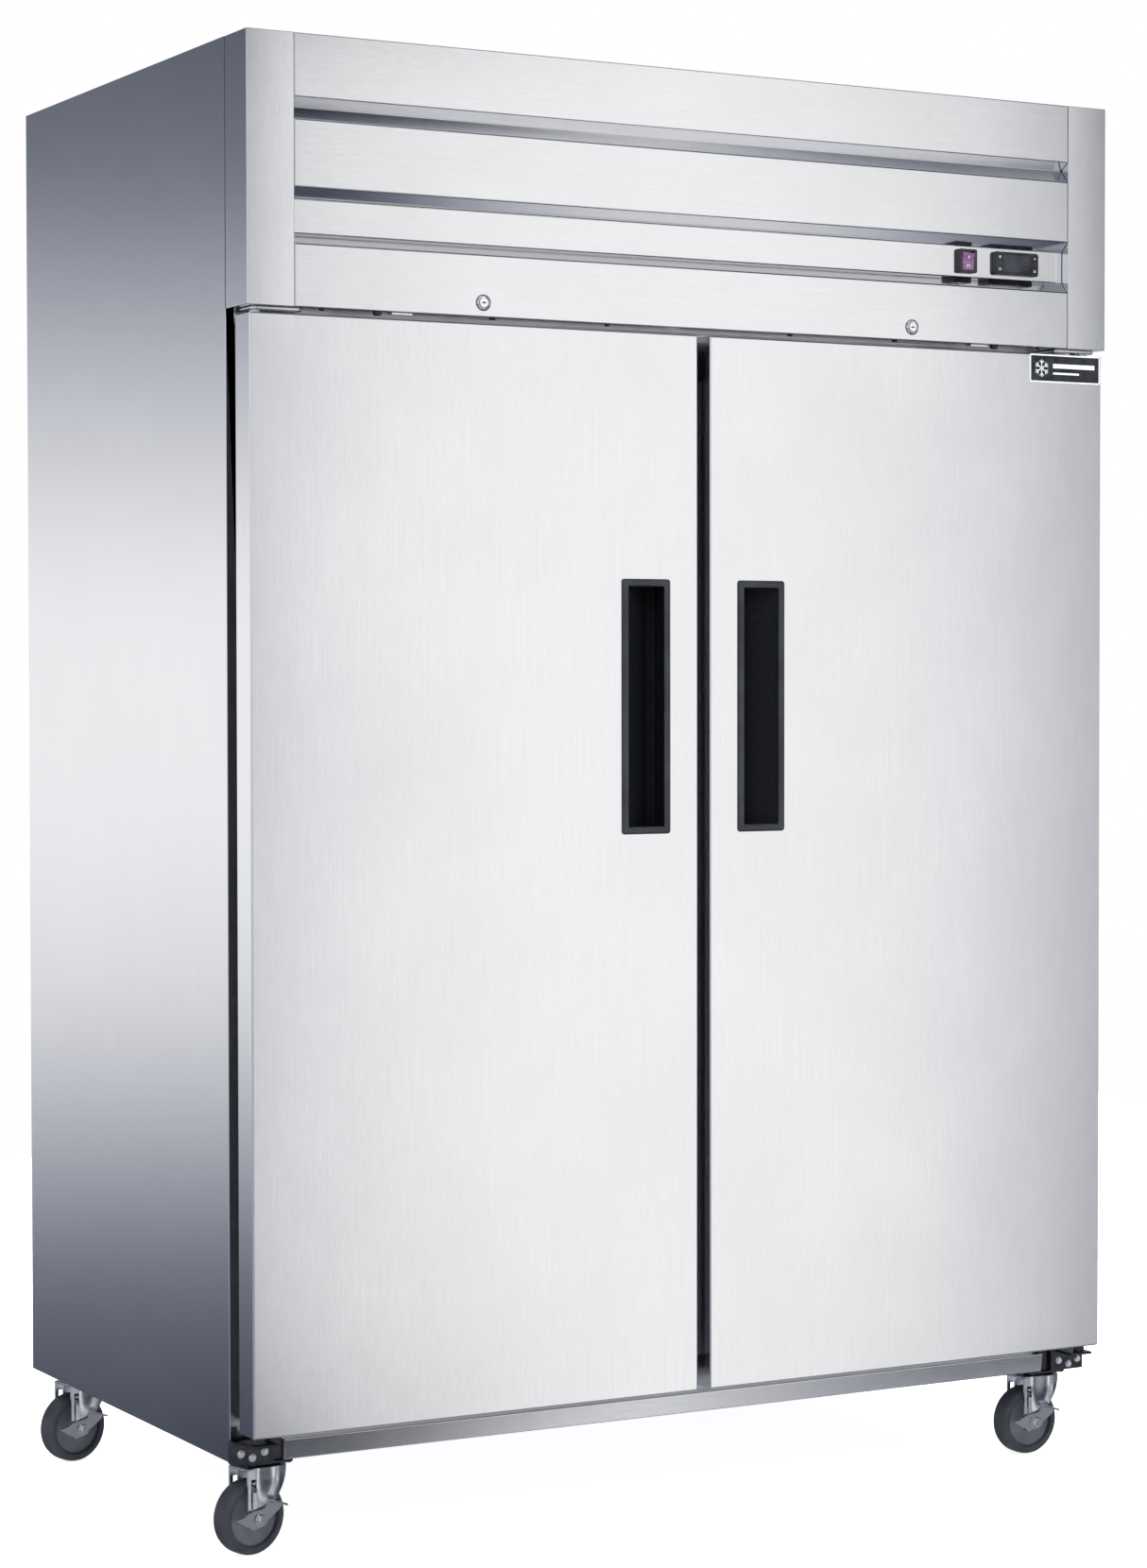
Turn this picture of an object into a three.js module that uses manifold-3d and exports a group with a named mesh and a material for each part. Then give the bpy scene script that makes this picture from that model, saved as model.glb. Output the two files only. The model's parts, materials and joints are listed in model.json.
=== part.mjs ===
// Two-door upright reach-in refrigerator with a top-mounted condensing unit.
// Millimetres, +Z up, origin on the floor under the middle of the cabinet, doors facing -Y.
import * as THREE from 'three';
import { mergeVertices } from 'three/addons/utils/BufferGeometryUtils.js';
import Module from 'manifold-3d';

const wasm = await Module();
wasm.setup();

// ---------------------------------------------------------------- driving dimensions
const WIDTH = 1400;            // outside width of the cabinet
const DEPTH = 830;             // header front to the back of the cabinet
const HEIGHT = 2032;           // floor to the top of the header
const CASTER_HEIGHT = 127;     // floor to the underside of the cabinet
const HEADER_HEIGHT = 361;     // machine compartment front
const HEADER_DEPTH = 72;       // how far the header stands out over the doors
const WALL = 60;               // foamed side and rear walls
const FLOOR_THICKNESS = 78;    // foamed floor with its raised sill
const CEILING_THICKNESS = 66;
const SKIN = 2;                // folded sheet metal
const WALL_SKIN = 1.2;         // inner and outer skins of a foamed wall
const GAP = 0.3;               // clearance between parts that touch
const POST_WIDTH = 68.5;       // plain post at each end of the header

const DOOR_SIDE_INSET = 4.5;   // cabinet side to door edge
const DOOR_GAP = 20;           // between the two doors
const DOOR_FRONT_INSET = 3;    // door face behind the header face
const DOOR_THICKNESS = 47;
const DOOR_BOTTOM = 170;
const DOOR_TOP = 1662;
const GASKET_INSET = 12;
const GASKET_WIDTH = 20;
const MULLION_WIDTH = 90;
const MULLION_DEPTH = 40;

const HINGE_INSET = 23;        // cabinet side to the doors' pivot axis
const HINGE_SETBACK = 27;      // header face to the doors' pivot axis
const HINGE_PIN_RADIUS = 4;

const HANDLE_WIDTH = 78;
const HANDLE_HEIGHT = 357;
const HANDLE_CENTRE_X = 94.5;
const HANDLE_CENTRE_Z = 1140;
const HANDLE_BORDER = 10;
const HANDLE_DEPTH = 36;

const LOCK_X = 351;
const LOCK_Z = 1690;
const CAM_LENGTH = 40;

const SWITCH_X = 456;
const CONTROL_X = 543.6;
const CONTROL_Z = 1793;        // middle height of the control strip
const CONTROL_WIDTH = 78.6;
const CONTROL_HEIGHT = 34;
const STRIP_SETBACK = 15;      // control strip behind the header face
const SWITCH_BODY = { width: 25, height: 29, depth: 28 };
const CONTROL_BODY = { width: 71, height: 28, depth: 55 };

const CASTER_X = 644;
const CASTER_Y = 331;
const CASTER_TRAIL = 27;
const WHEEL_RADIUS = 51;
const WHEEL_WIDTH = 32;
const WHEEL_SIDES = 24;
// How far each caster is swivelled from trailing straight to the left, in degrees.
const CASTER_TURN = { front_left: 13, front_right: 2, rear_left: 14, rear_right: 2 };

// ---------------------------------------------------------------- worked-out planes
const FRONT = -DEPTH / 2;
const REAR = DEPTH / 2;
const SIDE = WIDTH / 2;
const BODY_FRONT = FRONT + HEADER_DEPTH;
const HEADER_BOTTOM = HEIGHT - HEADER_HEIGHT;
const INNER_X = SIDE - WALL;
const INNER_REAR = REAR - WALL;
const INNER_BOTTOM = CASTER_HEIGHT + FLOOR_THICKNESS;
const INNER_TOP = HEADER_BOTTOM - CEILING_THICKNESS;
const DOOR_FRONT = FRONT + DOOR_FRONT_INSET;
const DOOR_REAR = DOOR_FRONT + DOOR_THICKNESS;
const DOOR_OUTER_X = SIDE - DOOR_SIDE_INSET;
const HINGE_X = SIDE - HINGE_INSET;
const HINGE_Y = FRONT + HINGE_SETBACK;
const PANEL_X = SIDE - POST_WIDTH;

// ---------------------------------------------------------------- materials
const material = (color, roughness, metalness) =>
  new THREE.MeshStandardMaterial({ color, roughness, metalness });
const FINISH = {
  steel: () => material(0xc9ccd4, 0.32, 1.0),
  darkSteel: () => material(0x3a3e46, 0.4, 0.9),
  chrome: () => material(0xdfe2e8, 0.12, 1.0),
  fin: () => material(0xb9bdc2, 0.45, 0.9),
  blackPaint: () => material(0x17181b, 0.45, 0.0),
  blackPlastic: () => material(0x1d1f24, 0.5, 0.0),
  gasket: () => material(0x2a2c30, 0.7, 0.0),
  wire: () => material(0xd9dbdd, 0.35, 0.0),
  rocker: () => material(0xa85f8e, 0.3, 0.0),
  tread: () => material(0x3f434b, 0.6, 0.0),
};

// ---------------------------------------------------------------- shape helpers
const root = new THREE.Group();

function addMesh(name, geometry, finish, parent = root) {
  const mesh = new THREE.Mesh(geometry, FINISH[finish]());
  mesh.name = name;
  parent.add(mesh);
  return mesh;
}

function toSolid(geometry) {
  const bare = geometry.clone();
  bare.deleteAttribute('normal');
  bare.deleteAttribute('uv');
  const merged = mergeVertices(bare, 1e-4);
  return new wasm.Manifold(new wasm.Mesh({
    numProp: 3,
    vertProperties: new Float32Array(merged.attributes.position.array),
    triVerts: new Uint32Array(merged.index.array),
  }));
}

function toGeometry(solid) {
  const mesh = solid.getMesh();
  const geometry = new THREE.BufferGeometry();
  geometry.setAttribute('position', new THREE.BufferAttribute(new Float32Array(mesh.vertProperties), 3));
  geometry.setIndex(new THREE.BufferAttribute(new Uint32Array(mesh.triVerts), 1));
  return geometry;
}

function join(...geometries) {
  return toGeometry(geometries.map(toSolid).reduce((whole, piece) => whole.add(piece)));
}

function cut(geometry, ...tools) {
  return toGeometry(tools.map(toSolid).reduce((whole, tool) => whole.subtract(tool), toSolid(geometry)));
}

// A block between two limits on each axis.
function block([x0, x1], [y0, y1], [z0, z1]) {
  const geometry = new THREE.BoxGeometry(x1 - x0, y1 - y0, z1 - z0);
  return geometry.translate((x0 + x1) / 2, (y0 + y1) / 2, (z0 + z1) / 2);
}

// A block centred on a point of the front, between two depths.
function centred(x, z, width, height, yRange) {
  return block([x - width / 2, x + width / 2], yRange, [z - height / 2, z + height / 2]);
}

function outline(points) {
  return new THREE.Shape(points.map(([u, v]) => new THREE.Vector2(u, v)));
}

// An XY outline extruded up from z0 to z1.
function extrudeZ(shape, z0, z1) {
  const geometry = new THREE.ExtrudeGeometry(shape, { depth: z1 - z0, bevelEnabled: false, curveSegments: 8 });
  return geometry.translate(0, 0, z0);
}

// An XZ outline extruded back from y0 to y1.
function extrudeY(shape, y0, y1) {
  const geometry = new THREE.ExtrudeGeometry(shape, { depth: y1 - y0, bevelEnabled: false, curveSegments: 8 });
  return geometry.rotateX(Math.PI / 2).translate(0, y1, 0);
}

// A YZ outline extruded to the right from x0 to x1.
function extrudeX(shape, x0, x1) {
  const geometry = new THREE.ExtrudeGeometry(shape, { depth: x1 - x0, bevelEnabled: false, curveSegments: 8 });
  return geometry.rotateX(Math.PI / 2).rotateZ(Math.PI / 2).translate(x0, 0, 0);
}

// A folded strip: a line of bend points with an even thickness on its left side.
function foldedStrip(points, thickness) {
  const line = points.map(([u, v]) => new THREE.Vector2(u, v));
  const normals = line.slice(1).map((end, i) => {
    const along = end.clone().sub(line[i]).normalize();
    return new THREE.Vector2(-along.y, along.x);
  });
  const offset = line.map((point, i) => {
    const before = normals[Math.max(i - 1, 0)];
    const after = normals[Math.min(i, normals.length - 1)];
    const mitre = before.clone().add(after).normalize();
    return point.clone().addScaledVector(mitre, thickness / mitre.dot(after));
  });
  return new THREE.Shape([...line, ...offset.reverse()]);
}

function cylinderZ(radius, z0, z1, x = 0, y = 0, sides = 20) {
  const geometry = new THREE.CylinderGeometry(radius, radius, z1 - z0, sides);
  return geometry.rotateX(Math.PI / 2).translate(x, y, (z0 + z1) / 2);
}

function cylinderY(radius, y0, y1, x = 0, z = 0, sides = 20) {
  const geometry = new THREE.CylinderGeometry(radius, radius, y1 - y0, sides);
  return geometry.translate(x, (y0 + y1) / 2, z);
}

function latheZ(profile, sides) {
  const points = profile.map(([r, z]) => new THREE.Vector2(r, z));
  return new THREE.LatheGeometry(points, sides).rotateX(Math.PI / 2);
}

// Mirrors a closed shape to the left side and keeps its faces pointing out.
function onSide(side, geometry) {
  if (side > 0) {
    return geometry;
  }
  return toGeometry(toSolid(geometry).mirror([1, 0, 0]));
}

const SIDES = { left: -1, right: 1 };

// ---------------------------------------------------------------- cabinet shell
const PORT_SIZE = 30;          // foam filling port of a wall

// A double-skinned wall: a hollow block with its filling port on the underside.
function foamedWall(xRange, yRange, zRange) {
  const shrink = ([low, high]) => [low + WALL_SKIN, high - WALL_SKIN];
  const middle = ([low, high], half) => [(low + high) / 2 - half, (low + high) / 2 + half];
  const hollow = block(shrink(xRange), shrink(yRange), shrink(zRange));
  const port = block(
    middle(xRange, PORT_SIZE / 2),
    middle(yRange, PORT_SIZE / 2),
    [zRange[0] - WALL_SKIN, zRange[0] + 2 * WALL_SKIN],
  );
  return cut(block(xRange, yRange, zRange), hollow, port);
}

function sideWall() {
  const foamed = foamedWall([INNER_X, SIDE], [BODY_FRONT, REAR], [CASTER_HEIGHT, HEADER_BOTTOM]);
  const upperSkin = block([SIDE - WALL_SKIN, SIDE], [BODY_FRONT, REAR], [HEADER_BOTTOM - 10, HEIGHT]);
  return join(foamed, upperSkin);
}

const REAR_GUARD_SETBACK = 14;      // the upper rear guard stands in from the back
const VENT_COUNT = 5;
const VENT_PITCH = 215;
const VENT_WIDTH = 180;
const VENT_SHIFT = -60;             // the vents leave room for the mains inlet on the right
const VENT_Z = [1775, 1965];
const GLAND_X = 560;
const GLAND_Z = 1735;
const GLAND_RADIUS = 12;

function rearWall() {
  const x = INNER_X - GAP;
  const guardRear = REAR - REAR_GUARD_SETBACK;
  const foamed = foamedWall([-x, x], [INNER_REAR, REAR], [CASTER_HEIGHT, HEADER_BOTTOM]);
  const guardX = SIDE - SKIN - GAP;
  const guard = block([-guardX, guardX], [guardRear - SKIN, guardRear], [HEADER_BOTTOM + GAP, HEIGHT - 12]);
  const foot = block([-x, x], [guardRear - SKIN, guardRear], [HEADER_BOTTOM - WALL_SKIN / 2, HEADER_BOTTOM + 5]);
  const vents = Array.from({ length: VENT_COUNT }, (_, i) => {
    const centre = (i - (VENT_COUNT - 1) / 2) * VENT_PITCH + VENT_SHIFT;
    return block([centre - VENT_WIDTH / 2, centre + VENT_WIDTH / 2], [guardRear - 9, guardRear + 9], VENT_Z);
  });
  const glandHole = cylinderY(GLAND_RADIUS + 0.5, guardRear - 9, guardRear + 9, GLAND_X, GLAND_Z);
  return cut(join(foamed, guard, foot), ...vents, glandHole);
}

function cordGland() {
  const guardRear = REAR - REAR_GUARD_SETBACK;
  const body = latheZ([[5, -24], [GLAND_RADIUS, -24], [GLAND_RADIUS, 0.5], [17, 0.5], [17, 6], [11, 12], [5, 12],
    [5, -24]], 20);
  return body.rotateX(-Math.PI / 2).translate(GLAND_X, guardRear, GLAND_Z);
}

function floorSlab() {
  const x = INNER_X - GAP;
  return foamedWall([-x, x], [BODY_FRONT, INNER_REAR - GAP], [CASTER_HEIGHT, INNER_BOTTOM]);
}

function ceilingSlab() {
  const x = INNER_X - GAP;
  return foamedWall([-x, x], [BODY_FRONT, INNER_REAR - GAP], [INNER_TOP, HEADER_BOTTOM]);
}

function mullion() {
  const x = MULLION_WIDTH / 2;
  return block([-x, x], [BODY_FRONT, BODY_FRONT + MULLION_DEPTH], [INNER_BOTTOM + GAP, INNER_TOP - GAP]);
}

const RAIL_HALF = 628;
const RAIL_DEPTH = 20;
const RAIL_HEIGHT = 28;

function bottomRail() {
  const front = BODY_FRONT - RAIL_DEPTH;
  const z0 = CASTER_HEIGHT;
  const bends = [[BODY_FRONT - GAP, z0], [front, z0], [front, z0 + RAIL_HEIGHT], [BODY_FRONT - GAP, z0 + RAIL_HEIGHT]];
  return extrudeX(foldedStrip(bends.reverse(), SKIN), -RAIL_HALF, RAIL_HALF);
}

// ---------------------------------------------------------------- header
const POST_RETURN = 20;
const POST_END_INSET = 1;        // the posts' end plates sit inside their folded sheet
const HEADER_TOP_FLANGE = 22;

function headerPost() {
  const rear = BODY_FRONT - GAP;
  const inner = PANEL_X;
  const channel = foldedStrip([[SIDE, rear], [SIDE, FRONT], [inner, FRONT], [inner, FRONT + POST_RETURN]].reverse(), SKIN);
  const endX = [inner + POST_END_INSET, SIDE - POST_END_INSET];
  const endFront = FRONT + POST_END_INSET;
  const base = block(endX, [endFront, rear], [HEADER_BOTTOM, HEADER_BOTTOM + SKIN]);
  const cap = block(endX, [endFront, FRONT + HEADER_TOP_FLANGE], [HEIGHT - SKIN, HEIGHT]);
  return join(extrudeZ(channel, HEADER_BOTTOM, HEIGHT), base, cap);
}

// Heights are measured down from the top of the header, setbacks from its face.
const GROOVE = { top: 84, deep: 95, bottom: 113.5, setback: 18 };
const RECESS = { top: 202, stripTop: 217, stripBottom: 262.5, bottom: 277.5 };

function headerPanel() {
  const at = (down, back) => [FRONT + back, HEIGHT - down];
  const bends = [
    at(0, HEADER_TOP_FLANGE), at(0, 0),
    at(GROOVE.top, 0), at(GROOVE.deep, GROOVE.setback), at(GROOVE.bottom, 0),
    at(RECESS.top, 0), at(RECESS.stripTop, STRIP_SETBACK), at(RECESS.stripBottom, STRIP_SETBACK), at(RECESS.bottom, 0),
    at(HEADER_HEIGHT, 0), at(HEADER_HEIGHT, HEADER_DEPTH - GAP),
  ];
  const x = PANEL_X - GAP;
  const sheet = extrudeX(foldedStrip(bends, SKIN), -x, x);
  const stripY = FRONT + STRIP_SETBACK;
  const through = [stripY - 5, stripY + 8];
  const cutOut = (x, body) => centred(x, CONTROL_Z, body.width + 1, body.height + 1, through);
  const switchHole = cutOut(SWITCH_X, SWITCH_BODY);
  const controlHole = cutOut(CONTROL_X, CONTROL_BODY);
  const lockCuts = Object.values(SIDES).flatMap((side) => [
    cylinderY(9.5, FRONT - 5, FRONT + 8, side * LOCK_X, LOCK_Z),
    camSlot(side * LOCK_X, [HEADER_BOTTOM - 3, HEADER_BOTTOM + 5], LOCK_Z - HEADER_BOTTOM),
  ]);
  return cut(sheet, switchHole, controlHole, ...lockCuts);
}

// ---------------------------------------------------------------- locks
const CAM_Y = FRONT + 32;
const CAM_WIDTH = 12;

// The slot that a cam sweeps through, at a given drop below the lock's axis.
function camSlot(x, zRange, drop) {
  const reach = Math.sqrt(CAM_LENGTH ** 2 - drop ** 2);
  return block([x - CAM_WIDTH / 2 - 2, x + reach + 2], [CAM_Y - 4, CAM_Y + 4], zRange);
}

// The cam points to the right when unlocked and turns down into the door's top edge.
function lockCylinder(x) {
  const flange = cylinderY(10.5, FRONT - 3.2, FRONT - GAP, 0, 0, 24);
  const barrel = cylinderY(8.5, FRONT - 2, CAM_Y - 1.5);
  const cam = block([-6, CAM_LENGTH], [CAM_Y - 2, CAM_Y + 1.5], [-CAM_WIDTH / 2, CAM_WIDTH / 2]);
  const tip = cylinderY(6, CAM_Y - 2, CAM_Y + 1.5, 0, 0);
  const keyway = block([-4, 4], [FRONT - 6, FRONT - 1.2], [-0.8, 0.8]);
  return cut(join(flange, barrel, cam, tip), keyway).translate(x, 0, LOCK_Z);
}

// ---------------------------------------------------------------- control strip
const STRIP_Y = FRONT + STRIP_SETBACK;
const BEZEL_PROUD = 8;
const SWITCH_WIDTH = 32;
const SWITCH_HEIGHT = 35;
const ROCKER_WIDTH = 21;
const ROCKER_HEIGHT = 28;

function switchBezel() {
  const rim = centred(SWITCH_X, CONTROL_Z, SWITCH_WIDTH, SWITCH_HEIGHT, [STRIP_Y - BEZEL_PROUD, STRIP_Y - GAP]);
  const { width, height, depth } = SWITCH_BODY;
  const body = centred(SWITCH_X, CONTROL_Z, width, height, [STRIP_Y - 2, STRIP_Y + depth]);
  const pocket = centred(SWITCH_X, CONTROL_Z, ROCKER_WIDTH + 1, ROCKER_HEIGHT + 1, [STRIP_Y - 20, STRIP_Y + 12]);
  return cut(join(rim, body), pocket);
}

// A shallow V-faced rocker, resting with its upper half out.
const ROCKER_Y = STRIP_Y + 2;
const ROCKER_TILT = 7;

function rockerSwitch() {
  const half = ROCKER_HEIGHT / 2 - 1;
  const face = outline([[0, -half], [-11, -half], [-9.5, 0], [-11, half], [0, half], [5, 4], [5, -4]]);
  const rocker = extrudeX(face, -ROCKER_WIDTH / 2, ROCKER_WIDTH / 2);
  rocker.rotateX(THREE.MathUtils.degToRad(ROCKER_TILT));
  return rocker.translate(SWITCH_X, ROCKER_Y, CONTROL_Z);
}

const KEY_WIDTH = 8;
const KEY_HEIGHT = 6.5;
const KEY_PLACES = {
  key_light: [-31.5, 9], key_set: [-31.5, -9], key_up: [31.5, 9], key_down: [31.5, -9],
};

function keyBlock([dx, dz], grow, yRange) {
  return centred(CONTROL_X + dx, CONTROL_Z + dz, KEY_WIDTH + grow, KEY_HEIGHT + grow, yRange);
}

function controller() {
  const face = STRIP_Y - BEZEL_PROUD;
  const rim = centred(CONTROL_X, CONTROL_Z, CONTROL_WIDTH, CONTROL_HEIGHT, [face, STRIP_Y - GAP]);
  const { width, height, depth } = CONTROL_BODY;
  const body = centred(CONTROL_X, CONTROL_Z, width, height, [STRIP_Y - 2, STRIP_Y + depth]);
  const keyWells = Object.values(KEY_PLACES).map((place) => keyBlock(place, 0.8, [face - 5, face + 4]));
  return cut(join(rim, body), ...keyWells);
}

function controllerKey(place) {
  const face = STRIP_Y - BEZEL_PROUD;
  return keyBlock(place, 0, [face - 0.6, face + 2.4]);
}

// ---------------------------------------------------------------- doors
const HINGE_HOLE_RADIUS = HINGE_PIN_RADIUS + 0.6;
const HINGE_HOLE_DEPTH = 20;
const LINER_SETBACK = 8;            // the doors' inner pans stop short of the cabinet face

// The door's outer pan, or with a shrink its foamed inside.
function doorPan(shrink) {
  return block(
    [DOOR_GAP / 2 + shrink, DOOR_OUTER_X - shrink],
    [DOOR_FRONT + shrink, DOOR_REAR - shrink],
    [DOOR_BOTTOM + shrink, DOOR_TOP - shrink],
  );
}

// The raised inner pan that fills the ring of the gasket, or with a shrink its foamed inside.
function doorLiner(shrink) {
  const inset = GASKET_INSET + GASKET_WIDTH + 1 + shrink;
  return block(
    [DOOR_GAP / 2 + inset, DOOR_OUTER_X - inset],
    [DOOR_REAR - 5, BODY_FRONT - LINER_SETBACK - shrink],
    [DOOR_BOTTOM + inset, DOOR_TOP - inset],
  );
}

function doorSlab(side) {
  const shell = cut(join(doorPan(0), doorLiner(0)), join(doorPan(WALL_SKIN), doorLiner(WALL_SKIN)));
  const handleX = [HANDLE_CENTRE_X - HANDLE_WIDTH / 2 + 3.5, HANDLE_CENTRE_X + HANDLE_WIDTH / 2 - 3.5];
  const handleZ = [HANDLE_CENTRE_Z - HANDLE_HEIGHT / 2 + 3.5, HANDLE_CENTRE_Z + HANDLE_HEIGHT / 2 - 3.5];
  const pocket = block(handleX, [DOOR_FRONT - 5, DOOR_FRONT + HANDLE_DEPTH + 0.5], handleZ);
  const pinHoles = [DOOR_BOTTOM, DOOR_TOP].map((z) =>
    cylinderZ(HINGE_HOLE_RADIUS, z - HINGE_HOLE_DEPTH, z + HINGE_HOLE_DEPTH, HINGE_X, HINGE_Y));
  const plain = onSide(side, cut(shell, pocket, ...pinHoles));
  const camCut = camSlot(side * LOCK_X, [LOCK_Z - CAM_LENGTH - 2, DOOR_TOP + 5], LOCK_Z - DOOR_TOP);
  return cut(plain, camCut);
}

function doorGasket(side) {
  const x = [DOOR_GAP / 2 + GASKET_INSET, DOOR_OUTER_X - GASKET_INSET];
  const z = [DOOR_BOTTOM + GASKET_INSET, DOOR_TOP - GASKET_INSET];
  const y = [DOOR_REAR + GAP, BODY_FRONT - 1];
  const outer = block(x, y, z);
  const shrink = ([low, high]) => [low + GASKET_WIDTH, high - GASKET_WIDTH];
  const inner = block(shrink(x), [y[0] - 5, y[1] + 5], shrink(z));
  return onSide(side, cut(outer, inner));
}

// A moulded pull: shallow at the hinge side, deep and undercut at the door's free edge.
function doorHandle(side) {
  const x0 = HANDLE_CENTRE_X - HANDLE_WIDTH / 2;
  const x1 = HANDLE_CENTRE_X + HANDLE_WIDTH / 2;
  const z0 = HANDLE_CENTRE_Z - HANDLE_HEIGHT / 2;
  const z1 = HANDLE_CENTRE_Z + HANDLE_HEIGHT / 2;
  const lip = DOOR_FRONT - 2.8;
  const back = DOOR_FRONT + HANDLE_DEPTH;
  const rim = block([x0, x1], [lip, DOOR_FRONT - GAP], [z0, z1]);
  const cup = block([x0 + 4, x1 - 4], [DOOR_FRONT - 2, back], [z0 + 4, z1 - 4]);
  const open = [x0 + HANDLE_BORDER, x1 - HANDLE_BORDER];
  const hollow = outline([
    [open[0], lip - 5], [open[0], DOOR_FRONT + 1], [x0 + 7, DOOR_FRONT + 4], [x0 + 7, back - 3],
    [x0 + 20, back - 3], [open[1], DOOR_FRONT + 2], [open[1], lip - 5],
  ]);
  const well = extrudeZ(hollow, z0 + HANDLE_BORDER, z1 - HANDLE_BORDER);
  return onSide(side, cut(join(rim, cup), well));
}

// ---------------------------------------------------------------- hinges
const TOP_HINGE = { inner: 85, outer: 11, front: 10, plate: 5 };
const BOTTOM_HINGE = { inner: 52, outer: 1, depth: 16, height: 31, plate: 4, bushRadius: 8 };

// Both plates are measured in from the cabinet's side.
function topHinge(side) {
  const plateTop = HEADER_BOTTOM - GAP;
  const x = [SIDE - TOP_HINGE.inner, SIDE - TOP_HINGE.outer];
  const plate = block(x, [FRONT + TOP_HINGE.front, BODY_FRONT - 2], [plateTop - TOP_HINGE.plate, plateTop]);
  const pin = cylinderZ(HINGE_PIN_RADIUS, DOOR_TOP - 16, HEADER_BOTTOM - 2, HINGE_X, HINGE_Y);
  return onSide(side, join(plate, pin));
}

function bottomHinge(side) {
  const { inner, outer, depth, height, plate, bushRadius } = BOTTOM_HINGE;
  const x = [SIDE - inner, SIDE - outer];
  const front = BODY_FRONT - depth;
  const rear = BODY_FRONT - GAP;
  const channel = foldedStrip([[x[0], rear], [x[0], front], [x[1], front], [x[1], rear]].reverse(), plate);
  const upright = extrudeZ(channel, CASTER_HEIGHT, CASTER_HEIGHT + height);
  const tongueTop = CASTER_HEIGHT + height + 1;
  const tongueZ = [tongueTop - plate, tongueTop];
  const tongue = block([x[0] + 6, x[1] - 7], [HINGE_Y - 13, front + 2], tongueZ);
  const bush = cylinderZ(bushRadius, tongueZ[0], DOOR_BOTTOM - 2, HINGE_X, HINGE_Y);
  const pin = cylinderZ(HINGE_PIN_RADIUS, tongueZ[0], DOOR_BOTTOM + 16, HINGE_X, HINGE_Y);
  return onSide(side, join(upright, tongue, bush, pin));
}

// ---------------------------------------------------------------- interior
const SHELF_WIDTH = 585;
const SHELF_DEPTH = 600;
const SHELF_THICKNESS = 10;
const SHELF_X = 338;                // middle of each section
const SHELF_SLOTS = 6;
const SHELF_LEVELS = { lower: 520, middle: 850, upper: 1180 };
const SHELF_FRONT = BODY_FRONT + MULLION_DEPTH + 12;

function wireShelf(side, z) {
  const x0 = side * SHELF_X - SHELF_WIDTH / 2;
  const y0 = SHELF_FRONT;
  const frame = block([x0, x0 + SHELF_WIDTH], [y0, y0 + SHELF_DEPTH], [z, z + SHELF_THICKNESS]);
  const bar = 8;
  const pitch = (SHELF_WIDTH - bar) / SHELF_SLOTS;
  const slots = Array.from({ length: SHELF_SLOTS }, (_, i) => block(
    [x0 + bar + i * pitch, x0 + (i + 1) * pitch],
    [y0 + bar, y0 + SHELF_DEPTH - bar],
    [z - 5, z + SHELF_THICKNESS + 5],
  ));
  return cut(frame, ...slots);
}

const EVAPORATOR = { x: 270, front: -20, rear: 330, bottom: 1485, fanY: 120, fanRadius: 95 };

function evaporatorCover() {
  const { x, front, rear, bottom, fanY, fanRadius } = EVAPORATOR;
  const top = INNER_TOP - GAP;
  const shell = block([-x, x], [front, rear], [bottom, top]);
  const hollow = block([-x + SKIN, x - SKIN], [front + SKIN, rear - SKIN], [bottom + SKIN, top + 5]);
  const mouth = cylinderZ(fanRadius + 6, bottom - 5, bottom + 10, 0, fanY, 40);
  const outlet = block([-x + 40, x - 40], [rear - 9, rear + 9], [bottom + 30, top - 25]);
  return cut(shell, hollow, mouth, outlet);
}

// A hub with pitched blades, turning about Z, its middle at the origin.
function fanWheel(radius, blades, hubRadius, hubHeight) {
  const hub = cylinderZ(hubRadius, -hubHeight / 2, hubHeight / 2);
  const blade = new THREE.BoxGeometry(radius - hubRadius + 6, radius * 0.5, 2);
  const reach = (radius + hubRadius - 6) / 2;
  const placed = Array.from({ length: blades }, (_, i) => blade.clone()
    .rotateX(THREE.MathUtils.degToRad(28))
    .translate(reach, 0, 0)
    .rotateZ((i / blades) * 2 * Math.PI));
  return join(hub, ...placed);
}

function evaporatorFan() {
  const { bottom, fanY, fanRadius } = EVAPORATOR;
  return fanWheel(fanRadius - 5, 5, 24, 34).translate(0, fanY, bottom + 45);
}

// ---------------------------------------------------------------- machine compartment
const DECK = HEADER_BOTTOM + GAP;
const UNIT = { x0: -330, x1: 330, y0: -285, y1: 225, lip: 24 };
const TRAY_TOP = DECK + SKIN;

function unitBase() {
  const bends = [[UNIT.y1, DECK + UNIT.lip], [UNIT.y1, DECK], [UNIT.y0, DECK], [UNIT.y0, DECK + UNIT.lip]];
  return extrudeX(foldedStrip(bends.reverse(), SKIN), UNIT.x0, UNIT.x1);
}

const COMPRESSOR = { x: -185, y: 60, radius: 90, height: 190, mountRadius: 12, mountHeight: 22 };

// A domed shell on a foot plate with four rubber mounts.
function compressor() {
  const { x, y, radius, height, mountRadius, mountHeight } = COMPRESSOR;
  const profile = [
    [0, 0], [radius - 20, 0], [radius - 6, 12], [radius, 40], [radius, height - 72], [radius - 8, height - 40],
    [radius - 34, height - 12], [18, height], [0, height],
  ];
  const foot = block([-radius - 15, radius + 15], [-radius + 20, radius - 20], [-12, 6]);
  const mounts = [[-1, -1], [-1, 1], [1, -1], [1, 1]].map(([u, v]) =>
    cylinderZ(mountRadius, -mountHeight, -8, u * (radius - 2), v * (radius - 36), 12));
  return join(latheZ(profile, 28), foot, ...mounts).translate(x, y, TRAY_TOP + GAP + mountHeight);
}

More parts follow.
